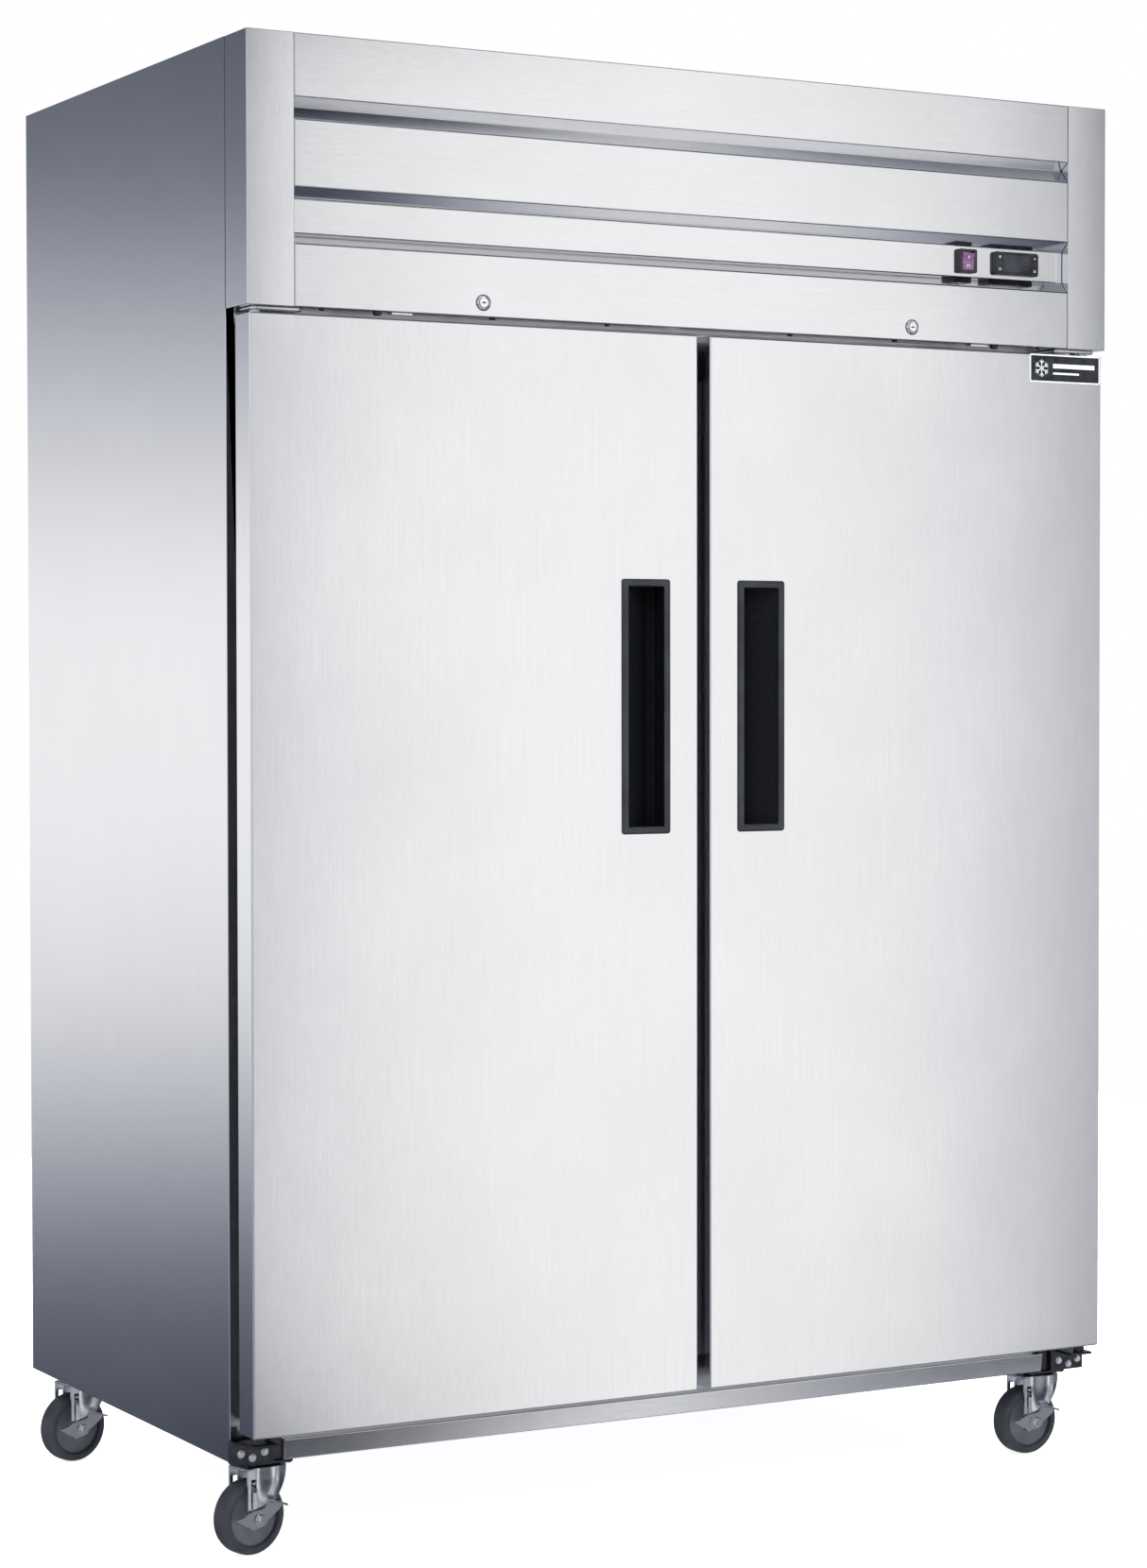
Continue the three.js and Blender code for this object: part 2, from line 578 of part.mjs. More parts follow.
const COIL = { x: 150, halfWidth: 160, front: -262, depth: 52, height: 250, fanRadius: 92, fanSetback: 46 };

function condenserCoil() {
  const { x, halfWidth, front, depth, height } = COIL;
  const z0 = TRAY_TOP + GAP;
  return block([x - halfWidth, x + halfWidth], [front, front + depth], [z0, z0 + height]);
}

function fanShroud() {
  const { x, halfWidth, front, depth, height, fanRadius } = COIL;
  const z0 = TRAY_TOP + GAP;
  const y0 = front + depth + GAP;
  const y1 = y0 + 62;
  const box = block([x - halfWidth, x + halfWidth], [y0, y1], [z0, z0 + height]);
  const hollow = block([x - halfWidth + SKIN, x + halfWidth - SKIN], [y0 - 5, y1 - SKIN],
    [z0 + SKIN, z0 + height - SKIN]);
  const mouth = cylinderY(fanRadius + 8, y0, y1 + 5, x, z0 + height / 2, 40);
  return cut(box, hollow, mouth);
}

function condenserFan() {
  const { x, front, depth, height, fanRadius, fanSetback } = COIL;
  const fan = fanWheel(fanRadius, 5, 30, 46).rotateX(Math.PI / 2);
  return fan.translate(x, front + depth + fanSetback, TRAY_TOP + GAP + height / 2);
}

const ELECTRICAL_BOX = { x: [420, 600], y: [-300, -180], height: 170 };

function electricalBox() {
  return block(ELECTRICAL_BOX.x, ELECTRICAL_BOX.y, [DECK, DECK + ELECTRICAL_BOX.height]);
}

// ---------------------------------------------------------------- casters
// Each caster is built with its swivel axis at the origin and its wheel trailing to -X.
const CASTER_PLATE = { x: 46, y: 33, thickness: 4 };   // half lengths and thickness
const RACE_RADIUS = 23;
const KINGPIN_RADIUS = 6;
const BOLT_RADIUS = 8;
const AXLE_RADIUS = 5;
const FORK_INSIDE = 19;             // half the gap between the fork's legs
const FORK_SHEET = 3;
const FORK_TOP = 120;
const CROWN_RADIUS = 29;
const CROWN_THICKNESS = 4;
const BRAKE_Y = -(FORK_INSIDE + FORK_SHEET + 3.5);
const BRAKE_SHEET = 3;
const BRAKE_TREAD_SLOPE = 19;         // degrees, falling towards the lever's front end

function casterPlate() {
  const plateTop = CASTER_HEIGHT - GAP;
  const { x, y, thickness } = CASTER_PLATE;
  const plateBottom = plateTop - thickness;
  const crownBottom = FORK_TOP - CROWN_THICKNESS;
  const plate = block([-x, x], [-y, y], [plateBottom, plateTop]);
  const race = cylinderZ(RACE_RADIUS, FORK_TOP + 0.5, plateBottom + 1, 0, 0, 20);
  const kingpin = cylinderZ(KINGPIN_RADIUS, crownBottom - 4, plateBottom + 1, 0, 0, 12);
  const head = cylinderZ(KINGPIN_RADIUS + 4, crownBottom - 5, crownBottom - 0.8, 0, 0, 12);
  return join(plate, race, kingpin, head);
}

// Two legs hang from a round crown; their front edges sweep back down to the axle.
function casterFork() {
  const axleX = -CASTER_TRAIL;
  const legBack = axleX - 17;
  const leg = new THREE.Shape();
  leg.moveTo(legBack, FORK_TOP - 1);
  leg.lineTo(legBack, WHEEL_RADIUS + 6);
  leg.absarc(axleX, WHEEL_RADIUS, 12, Math.PI, 2 * Math.PI, false);
  leg.lineTo(axleX + 24, WHEEL_RADIUS + 26);
  leg.quadraticCurveTo(axleX + 41, WHEEL_RADIUS + 45, axleX + 44, FORK_TOP - 1);
  const outside = FORK_INSIDE + FORK_SHEET;
  const legs = [-outside, FORK_INSIDE].map((y) => extrudeY(leg, y, y + FORK_SHEET));
  const crownZ = [FORK_TOP - CROWN_THICKNESS, FORK_TOP];
  const crown = block([legBack, 12], [-outside, outside], crownZ);
  const crownDisc = cylinderZ(CROWN_RADIUS, ...crownZ, 0, 0, 24);
  const bore = cylinderZ(KINGPIN_RADIUS + 0.6, FORK_TOP - 9, FORK_TOP + 9, 0, 0, 12);
  const axle = cylinderY(AXLE_RADIUS, BRAKE_Y - 9, outside + 7, axleX, WHEEL_RADIUS, 12);
  const boltHead = cylinderY(BOLT_RADIUS, BRAKE_Y - 9, BRAKE_Y - BRAKE_SHEET / 2 - 1, axleX, WHEEL_RADIUS, 6);
  const nut = cylinderY(BOLT_RADIUS, outside - 1, outside + 7, axleX, WHEEL_RADIUS, 6);
  return join(cut(join(...legs, crown, crownDisc), bore), axle, boltHead, nut);
}

// The wheel's flats are turned so that one lies level on the floor.
function casterWheel() {
  const r = WHEEL_RADIUS / Math.cos(Math.PI / WHEEL_SIDES);
  const half = WHEEL_WIDTH / 2;
  const bore = AXLE_RADIUS + 0.8;
  const hubHalf = FORK_INSIDE - 0.7;
  const profile = [
    [bore, -hubHalf], [14, -hubHalf], [16, -half + 7], [r - 13, -half + 5], [r - 9, -half], [r - 4, -half], [r, -half + 4],
    [r, half - 4], [r - 4, half], [r - 9, half], [r - 13, half - 5], [16, half - 7], [14, hubHalf], [bore, hubHalf],
    [bore, -hubHalf],
  ];
  const wheel = latheZ(profile, WHEEL_SIDES).rotateZ(Math.PI / WHEEL_SIDES).rotateX(Math.PI / 2);
  return wheel.translate(-CASTER_TRAIL, 0, WHEEL_RADIUS);
}

// A winged foot lever on the axle bolt, with a tread turned out at its front end.
function casterBrake() {
  const shape = outline([
    [-42, 4.5], [-22.5, -8], [-19.5, -7.2], [-13, -14], [1, -10.5], [13, -2.5], [30, 8], [35, 12], [36, 17.5],
    [14.5, 25], [10, 16], [4, 14], [-6, 13], [-18.5, 11], [-29, 6],
  ]);
  const lever = extrudeY(shape, BRAKE_Y - BRAKE_SHEET / 2, BRAKE_Y + BRAKE_SHEET / 2);
  const tread = block([-11.5, 11.5], [BRAKE_Y - 15, BRAKE_Y], [-1.5, 1.5]);
  tread.rotateY(THREE.MathUtils.degToRad(BRAKE_TREAD_SLOPE)).translate(25.5, 0, 20.5);
  const bore = cylinderY(AXLE_RADIUS + 0.8, BRAKE_Y - 9, BRAKE_Y + 9, 0, 0, 16);
  return cut(join(lever, tread), bore).translate(-CASTER_TRAIL, 0, WHEEL_RADIUS);
}

function addCaster(name, x, y, turn) {
  const stand = new THREE.Group();
  stand.position.set(x, y, 0);
  root.add(stand);
  addMesh(`caster_plate_${name}`, casterPlate(), 'chrome', stand);
  const swivel = new THREE.Group();
  swivel.rotation.z = THREE.MathUtils.degToRad(turn);
  stand.add(swivel);
  addMesh(`caster_fork_${name}`, casterFork(), 'chrome', swivel);
  addMesh(`caster_wheel_${name}`, casterWheel(), 'tread', swivel);
  addMesh(`caster_brake_${name}`, casterBrake(), 'chrome', swivel);
}

// ---------------------------------------------------------------- assembly
for (const [name, side] of Object.entries(SIDES)) {
  addMesh(`${name}_side_wall`, onSide(side, sideWall()), 'steel');
  addMesh(`header_post_${name}`, onSide(side, headerPost()), 'steel');
  addMesh(`top_hinge_${name}`, topHinge(side), 'steel');
  addMesh(`bottom_hinge_${name}`, bottomHinge(side), 'darkSteel');
  addMesh(`door_${name}`, doorSlab(side), 'steel');
  addMesh(`door_gasket_${name}`, doorGasket(side), 'gasket');
  addMesh(`door_handle_${name}`, doorHandle(side), 'blackPlastic');
  addMesh(`door_lock_${name}`, lockCylinder(side * LOCK_X), 'chrome');
  for (const [level, z] of Object.entries(SHELF_LEVELS)) {
    addMesh(`shelf_${name}_${level}`, wireShelf(side, z), 'wire');
  }
}
addMesh('rear_wall', rearWall(), 'steel');
addMesh('cabinet_floor', floorSlab(), 'steel');
addMesh('cabinet_ceiling', ceilingSlab(), 'steel');
addMesh('center_mullion', mullion(), 'gasket');
addMesh('bottom_rail', bottomRail(), 'steel');
addMesh('header_panel', headerPanel(), 'steel');
addMesh('switch_bezel', switchBezel(), 'blackPlastic');
addMesh('rocker_switch', rockerSwitch(), 'rocker');
addMesh('controller', controller(), 'blackPlastic');
for (const [name, place] of Object.entries(KEY_PLACES)) {
  addMesh(name, controllerKey(place), 'blackPlastic');
}
addMesh('evaporator_cover', evaporatorCover(), 'steel');
addMesh('evaporator_fan', evaporatorFan(), 'blackPlastic');
addMesh('condensing_unit_base', unitBase(), 'steel');
addMesh('compressor', compressor(), 'blackPaint');
addMesh('condenser_coil', condenserCoil(), 'fin');
addMesh('condenser_fan_shroud', fanShroud(), 'blackPaint');
addMesh('condenser_fan', condenserFan(), 'fin');
addMesh('electrical_box', electricalBox(), 'steel');
addMesh('cord_gland', cordGland(), 'blackPlastic');
addCaster('front_left', -CASTER_X, -CASTER_Y, CASTER_TURN.front_left);
addCaster('front_right', CASTER_X, -CASTER_Y, CASTER_TURN.front_right);
addCaster('rear_left', -CASTER_X, CASTER_Y, CASTER_TURN.rear_left);
addCaster('rear_right', CASTER_X, CASTER_Y, CASTER_TURN.rear_right);

export default root;
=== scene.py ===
"""Two-door reach-in refrigerator: its looks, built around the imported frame.

Metres, +Z up, doors facing -Y. Places and sizes come from the CAD nodes' boxes and from the joints."""
import json
import math

import bmesh
import bpy
from mathutils import Matrix, Vector

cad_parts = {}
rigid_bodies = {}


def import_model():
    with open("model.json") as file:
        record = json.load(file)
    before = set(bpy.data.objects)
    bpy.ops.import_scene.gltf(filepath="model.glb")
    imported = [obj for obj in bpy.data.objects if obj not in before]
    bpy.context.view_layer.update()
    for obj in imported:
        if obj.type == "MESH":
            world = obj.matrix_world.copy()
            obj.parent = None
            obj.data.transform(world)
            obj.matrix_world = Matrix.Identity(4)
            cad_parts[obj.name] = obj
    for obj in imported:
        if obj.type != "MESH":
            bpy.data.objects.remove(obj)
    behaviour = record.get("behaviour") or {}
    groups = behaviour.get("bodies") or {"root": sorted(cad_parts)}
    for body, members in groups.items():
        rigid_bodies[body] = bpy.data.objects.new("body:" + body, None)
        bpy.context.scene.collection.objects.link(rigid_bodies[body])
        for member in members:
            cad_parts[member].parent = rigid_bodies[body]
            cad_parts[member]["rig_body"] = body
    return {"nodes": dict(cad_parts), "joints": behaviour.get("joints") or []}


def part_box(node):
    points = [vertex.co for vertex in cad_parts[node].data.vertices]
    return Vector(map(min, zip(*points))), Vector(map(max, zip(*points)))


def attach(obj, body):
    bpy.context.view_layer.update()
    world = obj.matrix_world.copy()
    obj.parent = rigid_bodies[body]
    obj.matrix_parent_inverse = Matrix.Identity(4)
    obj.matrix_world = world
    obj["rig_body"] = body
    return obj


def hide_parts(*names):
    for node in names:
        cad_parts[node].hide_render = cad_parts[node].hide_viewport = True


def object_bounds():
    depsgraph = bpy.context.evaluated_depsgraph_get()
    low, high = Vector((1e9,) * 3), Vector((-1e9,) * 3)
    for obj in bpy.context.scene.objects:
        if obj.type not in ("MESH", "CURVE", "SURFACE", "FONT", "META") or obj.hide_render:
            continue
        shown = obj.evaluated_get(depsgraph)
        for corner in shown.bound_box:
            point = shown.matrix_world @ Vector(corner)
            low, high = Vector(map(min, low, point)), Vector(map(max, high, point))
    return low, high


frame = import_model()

cad_low, cad_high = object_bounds()
BOX = {node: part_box(node) for node in frame["nodes"]}
BODY = {node: obj["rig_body"] for node, obj in frame["nodes"].items()}
JOINT = {joint["name"]: joint for joint in frame["joints"]}
SIDES = {"left": -1, "right": 1}
MM = 0.001
HERE = Matrix.Identity(4)
cad_side = BOX["right_side_wall"][1].x     # half of the cabinet's width


# ---------------------------------------------------------------- camera, floor and light
CAMERA_PLACE = (-2.578, -4.708, 1.173)
CAMERA_YAW = 28.86          # degrees to the right of looking along +Y
CAMERA_PITCH = -1.63
CAMERA_ROLL = -0.07
CAMERA_LENS = 81.38


def make_camera():
    data = bpy.data.cameras.new("camera")
    data.lens = CAMERA_LENS
    data.sensor_width = 36
    data.clip_end = 100
    camera = bpy.data.objects.new("camera", data)
    turn = Matrix.Rotation(math.radians(-CAMERA_YAW), 4, "Z")
    tilt = Matrix.Rotation(math.radians(90 + CAMERA_PITCH), 4, "X")
    roll = Matrix.Rotation(math.radians(CAMERA_ROLL), 4, "Z")
    camera.matrix_world = Matrix.Translation(CAMERA_PLACE) @ turn @ tilt @ roll
    bpy.context.scene.collection.objects.link(camera)
    bpy.context.scene.camera = camera


class Nodes:
    """A node tree that is written as short calls."""

    def __init__(self, tree):
        self.tree = tree

    def add(self, kind, inputs=(), **settings):
        made = self.tree.nodes.new("ShaderNode" + kind)
        for key, value in settings.items():
            setattr(made, key, value)
        for key, value in dict(inputs).items():
            if isinstance(value, bpy.types.NodeSocket):
                self.tree.links.new(value, made.inputs[key])
            else:
                made.inputs[key].default_value = value
        return made

    def math(self, operation, a, b=0.0, c=0.0):
        return self.add("Math", {0: a, 1: b, 2: c}, operation=operation).outputs[0]

    def ramp(self, value, *stops):
        """A smooth line through (place, value) stops."""
        ramp = self.add("ValToRGB", {0: value})
        ramp.color_ramp.interpolation = "LINEAR"
        points = ramp.color_ramp.elements
        while len(points) < len(stops):
            points.new(0.5)
        for point, (place, level) in zip(points, stops):
            point.position = place
            point.color = (level, level, level, 1)
        return ramp.outputs[0]

    def smooth_step(self, value, low, high):
        return self.add("MapRange", {0: value, 1: low, 2: high}, interpolation_type="SMOOTHSTEP").outputs[0]

    def blend(self, mask, a, b):
        return self.add("Mix", {0: mask, 6: a, 7: b}, data_type="RGBA").outputs[2]

    def noise(self, where, scale, stretch=(1, 1, 1), detail=3):
        """Noise with cells 1/scale wide, drawn out by stretch."""
        cells = [scale / s for s in stretch]
        mapped = self.add("Mapping", {"Vector": where, "Scale": cells}).outputs[0]
        return self.add("TexNoise", {"Vector": mapped, "Scale": 1.0, "Detail": detail}).outputs["Fac"]


# Directions are seen from the object: azimuth 0 is towards the viewer of the doors, +90 to the right.
ROOM = [(-90, 0.16), (-30, 0.05), (-13, 0.05), (-9.5, 0.16), (-5, 0.84), (-2, 0.99), (1.5, 0.99), (5, 0.58),
        (8, 0.2),
        (14, 0.06), (30, 0.05), (50, 0.4), (90, 1.4)]        # elevation, brightness
PLAIN_ROOM = [(-90, 0.55), (-45, 0.42), (-12, 0.3), (-3, 0.62), (5, 0.85), (14, 0.62), (35, 0.4), (60, 0.6),
              (90, 1.4)]
SIDE_AZIMUTH = -158          # where the cabinet's left side looks, as seen from the camera
SCREEN = (22.9, 37.1)        # azimuths of its two edges
SCREEN_LEVEL = 1.08
SURROUND = 0.3               # what is left of the bright band beside the screen
# azimuth, elevation, reach and brightness of pale patches low on the right
GLOWS = [(73.5, -58, 7, 0.85), (50, -17, 11, 1.0), (43, -27, 5, 1.0), (36.5, -32, 10, 1.0)]


def make_world():
    world = bpy.data.worlds.new("studio")
    bpy.context.scene.world = world
    world.use_nodes = True
    tree = world.node_tree
    tree.nodes.clear()
    n = Nodes(tree)
    where = n.add("TexCoord").outputs["Generated"]
    x, y, z = n.add("SeparateXYZ", {0: where}).outputs
    azimuth = n.math("MULTIPLY", n.math("ARCTAN2", x, n.math("MULTIPLY", y, -1.0)), 180 / math.pi)
    elevation = n.math("MULTIPLY", n.math("ARCSINE", z), 180 / math.pi)
    height = n.math("MULTIPLY_ADD", elevation, 1 / 180, 0.5)
    # what the doors and the left side mirror: a bright band at the horizon between dark walls
    banded = n.ramp(height, *[(0.5 + angle / 180, level) for angle, level in ROOM])
    # the rest of the room is paler and plainer
    plain = n.ramp(height, *[(0.5 + angle / 180, level) for angle, level in PLAIN_ROOM])
    turn = n.math("ABSOLUTE", n.math("SUBTRACT", azimuth, SIDE_AZIMUTH))
    from_side = n.math("MINIMUM", turn, n.math("SUBTRACT", 360.0, turn))
    # the banded part fades in and out over these azimuths
    at_front = n.math("MULTIPLY", n.smooth_step(azimuth, 2, 13), n.smooth_step(azimuth, 98, 85))
    mirrored = n.math("MAXIMUM", at_front, n.smooth_step(from_side, 28, 13))
    difference = n.math("SUBTRACT", banded, plain)
    room = n.math("MULTIPLY_ADD", difference, mirrored, plain)
    # towards the front right: a white screen, with its middle part reaching further up and down
    steep = n.smooth_step(n.math("ABSOLUTE", elevation), 10, 18)
    above = n.smooth_step(elevation, 10, 18)
    left = n.math("MULTIPLY_ADD", above, 1.8, n.math("MULTIPLY_ADD", steep, 7.5, SCREEN[0]))
    right = n.math("MULTIPLY_ADD", steep, -2.5, SCREEN[1])
    soft = n.math("MULTIPLY_ADD", above, 2.6, 1.2)
    screen = n.math("MULTIPLY", n.smooth_step(n.math("SUBTRACT", azimuth, left),
                                              n.math("MULTIPLY", soft, -1.0), soft),
                    n.smooth_step(n.math("SUBTRACT", right, azimuth), -1.5, 1.5))
    beside = n.math("MULTIPLY", n.smooth_step(azimuth, 5, 16), n.smooth_step(azimuth, 75, 50))
    room = n.math("MULTIPLY", room, n.math("MULTIPLY_ADD", beside, SURROUND - 1, 1.0))
    level = n.math("MAXIMUM", room, n.math("MULTIPLY", screen, SCREEN_LEVEL))
    for glow_azimuth, glow_elevation, reach, brightness in GLOWS:
        aside = n.math("MULTIPLY", n.math("SUBTRACT", azimuth, glow_azimuth),
                       math.cos(math.radians(glow_elevation)))
        below = n.math("SUBTRACT", elevation, glow_elevation)
        away = n.add("VectorMath", {0: n.add("CombineXYZ", {0: aside, 1: below}).outputs[0]},
                     operation="LENGTH")
        patch = n.math("MULTIPLY", n.smooth_step(away.outputs["Value"], reach, 1.0), brightness)
        level = n.math("MAXIMUM", level, patch)
    tone = n.add("CombineColor", {i: n.math("POWER", level, power) for i,
                                  power in enumerate((1.12, 1.07, 0.93))})
    shown = n.add("LightPath").outputs["Is Camera Ray"]
    glow = n.add("Background", {"Color": tone.outputs[0], "Strength": 1.0})
    white = n.add("Background", {"Color": (1, 1, 1, 1), "Strength": 1.0})
    both = n.add("MixShader", {0: shown, 1: glow.outputs[0], 2: white.outputs[0]})
    n.add("OutputWorld", {0: both.outputs[0]})


def make_area_light(name, place, target, size, power):
    data = bpy.data.lights.new(name, "AREA")
    data.shape = "RECTANGLE"
    data.size, data.size_y = size
    data.energy = power
    lamp = bpy.data.objects.new(name, data)
    lamp.location = place
    lamp.rotation_euler = (Vector(target) - Vector(place)).to_track_quat("-Z", "Y").to_euler()
    lamp.visible_glossy = False
    lamp.visible_camera = False
    bpy.context.scene.collection.objects.link(lamp)


def make_floor():
    half = 3.6
    bm = bmesh.new()
    z = cad_low.z - 0.2 * MM
    bm.faces.new([bm.verts.new((u * half, v * half, z)) for u, v in ((-1, -1), (1, -1), (1, 1), (-1, 1))])
    mesh = bpy.data.meshes.new("floor")
    bm.to_mesh(mesh)
    floor = bpy.data.objects.new("floor", mesh)
    bpy.context.scene.collection.objects.link(floor)
    look = bpy.data.materials.new("pale_floor")
    look.use_nodes = True
    n = Nodes(look.node_tree)
    shader = look.node_tree.nodes["Principled BSDF"]
    where = n.add("TexCoord").outputs["Object"]
    tone = n.blend(n.noise(where, 3.0), (0.88, 0.88, 0.89, 1), (0.91, 0.91, 0.915, 1))
    look.node_tree.links.new(tone, shader.inputs["Base Color"])
    shader.inputs["Roughness"].default_value = 0.9
    shader.inputs["Specular IOR Level"].default_value = 0.1
    shader.inputs["Emission Color"].default_value = (1, 1, 1, 1)
    shader.inputs["Emission Strength"].default_value = 0.82
    mesh.materials.append(look)
    floor.visible_glossy = False


def make_stage():
    make_camera()
    make_world()
    make_floor()
    make_area_light("key", (-2.5, -4.0, 5.5), (0, 0, 0.6), (4, 4), 420)
    make_area_light("fill", (3.5, -3.0, 4.5), (0, 0, 0.6), (4, 4), 320)
    make_area_light("back", (0.0, 4.0, 5.0), (0, 0.5, 0.3), (5, 4), 320)
    bpy.context.scene.view_settings.view_transform = "Standard"


# ---------------------------------------------------------------- materials
LOOKS = {}


class Surface(Nodes):
    """A node material: a base colour with layers of tint, roughness and relief added to it."""

    def __init__(self, name, slot, color, metallic, roughness, **fixed):
        material = bpy.data.materials.new(name)
        material.use_nodes = True
        super().__init__(material.node_tree)
        self.shader = self.tree.nodes["Principled BSDF"]
        self.shader.inputs["Metallic"].default_value = metallic
        self.color = (*color, 1)
        self.roughness = roughness
        for key, value in fixed.items():
            self.shader.inputs[key.replace("_", " ")].default_value = value
        self.where = self.add("TexCoord").outputs["Object"]
        self.normal = None
        LOOKS[name] = material

    def grain(self, scale, stretch=(1, 1, 1), detail=3):
        return self.noise(self.where, scale, stretch, detail)

    def tint(self, mask, color, amount=1.0, low=0.35, high=0.65):
        """Lays a colour over the base where the mask is high."""
        share = self.add("MapRange", {0: mask, 1: low, 2: high, 3: 0.0, 4: amount}).outputs[0]
        self.color = self.blend(share, self.color, (*color, 1))
        self.tree.links.new(self.color, self.shader.inputs["Base Color"])

    def rough(self, mask, amount):
        """Adds to the roughness where the mask is high and takes away where it is low."""
        centred = self.math("SUBTRACT", mask, 0.5)
        self.roughness = self.math("MULTIPLY_ADD", centred, amount, self.roughness)
        self.tree.links.new(self.roughness, self.shader.inputs["Roughness"])

    def relief(self, height, strength, depth):
        inputs = {"Height": height, "Strength": strength, "Distance": depth}
        if self.normal is not None:
            inputs["Normal"] = self.normal
        self.normal = self.add("Bump", inputs).outputs[0]
        self.tree.links.new(self.normal, self.shader.inputs["Normal"])

    def worn_edges_and_highlight(self, color, width, amount):
        """Lightens the convex edges, as handling does, in patches; on the wheels it also paints a highlight on
        the rim lip.
        """
        rounded = self.add("Bevel", {"Radius": width}, samples=4).outputs[0]
        flat = self.add("NewGeometry").outputs["Normal"]
        same = self.add("VectorMath", {0: rounded, 1: flat}, operation="DOT_PRODUCT").outputs["Value"]
        edge = self.math("MULTIPLY", self.math("SUBTRACT", 1.0, same), 6.0)
        patchy = self.math("MULTIPLY", edge, self.grain(90))
        self.tint(patchy, color, amount, 0.1, 0.6)


def brushed_steel(name, along, color=(0.86, 0.865, 0.885), roughness=0.15, slot="stainless_steel"):
    """Satin sheet with a fine grain along one axis, light smudges and rolling marks."""
    look = Surface(name, slot, color, 1.0, roughness, Anisotropic=0.0)
    stretch = [60 if axis == along else 1 for axis in "XYZ"]
    fine = look.grain(2600, stretch, 2)
    streak = look.grain(420, stretch, 3)
    smudge = look.grain(3.5, detail=4)
    speckle = look.grain(700, detail=2)
    look.tint(streak, [c * 0.93 for c in color], 0.5)
    look.tint(smudge, [c * 0.965 for c in color], 0.6)
    look.tint(speckle, [c * 0.95 for c in color], 0.35)
    look.rough(fine, 0.12)
    look.rough(smudge, 0.06)
    look.relief(fine, 0.8 * roughness, 0.04 * MM)
    look.relief(look.grain(9, detail=2), 0.15, 0.6 * MM)


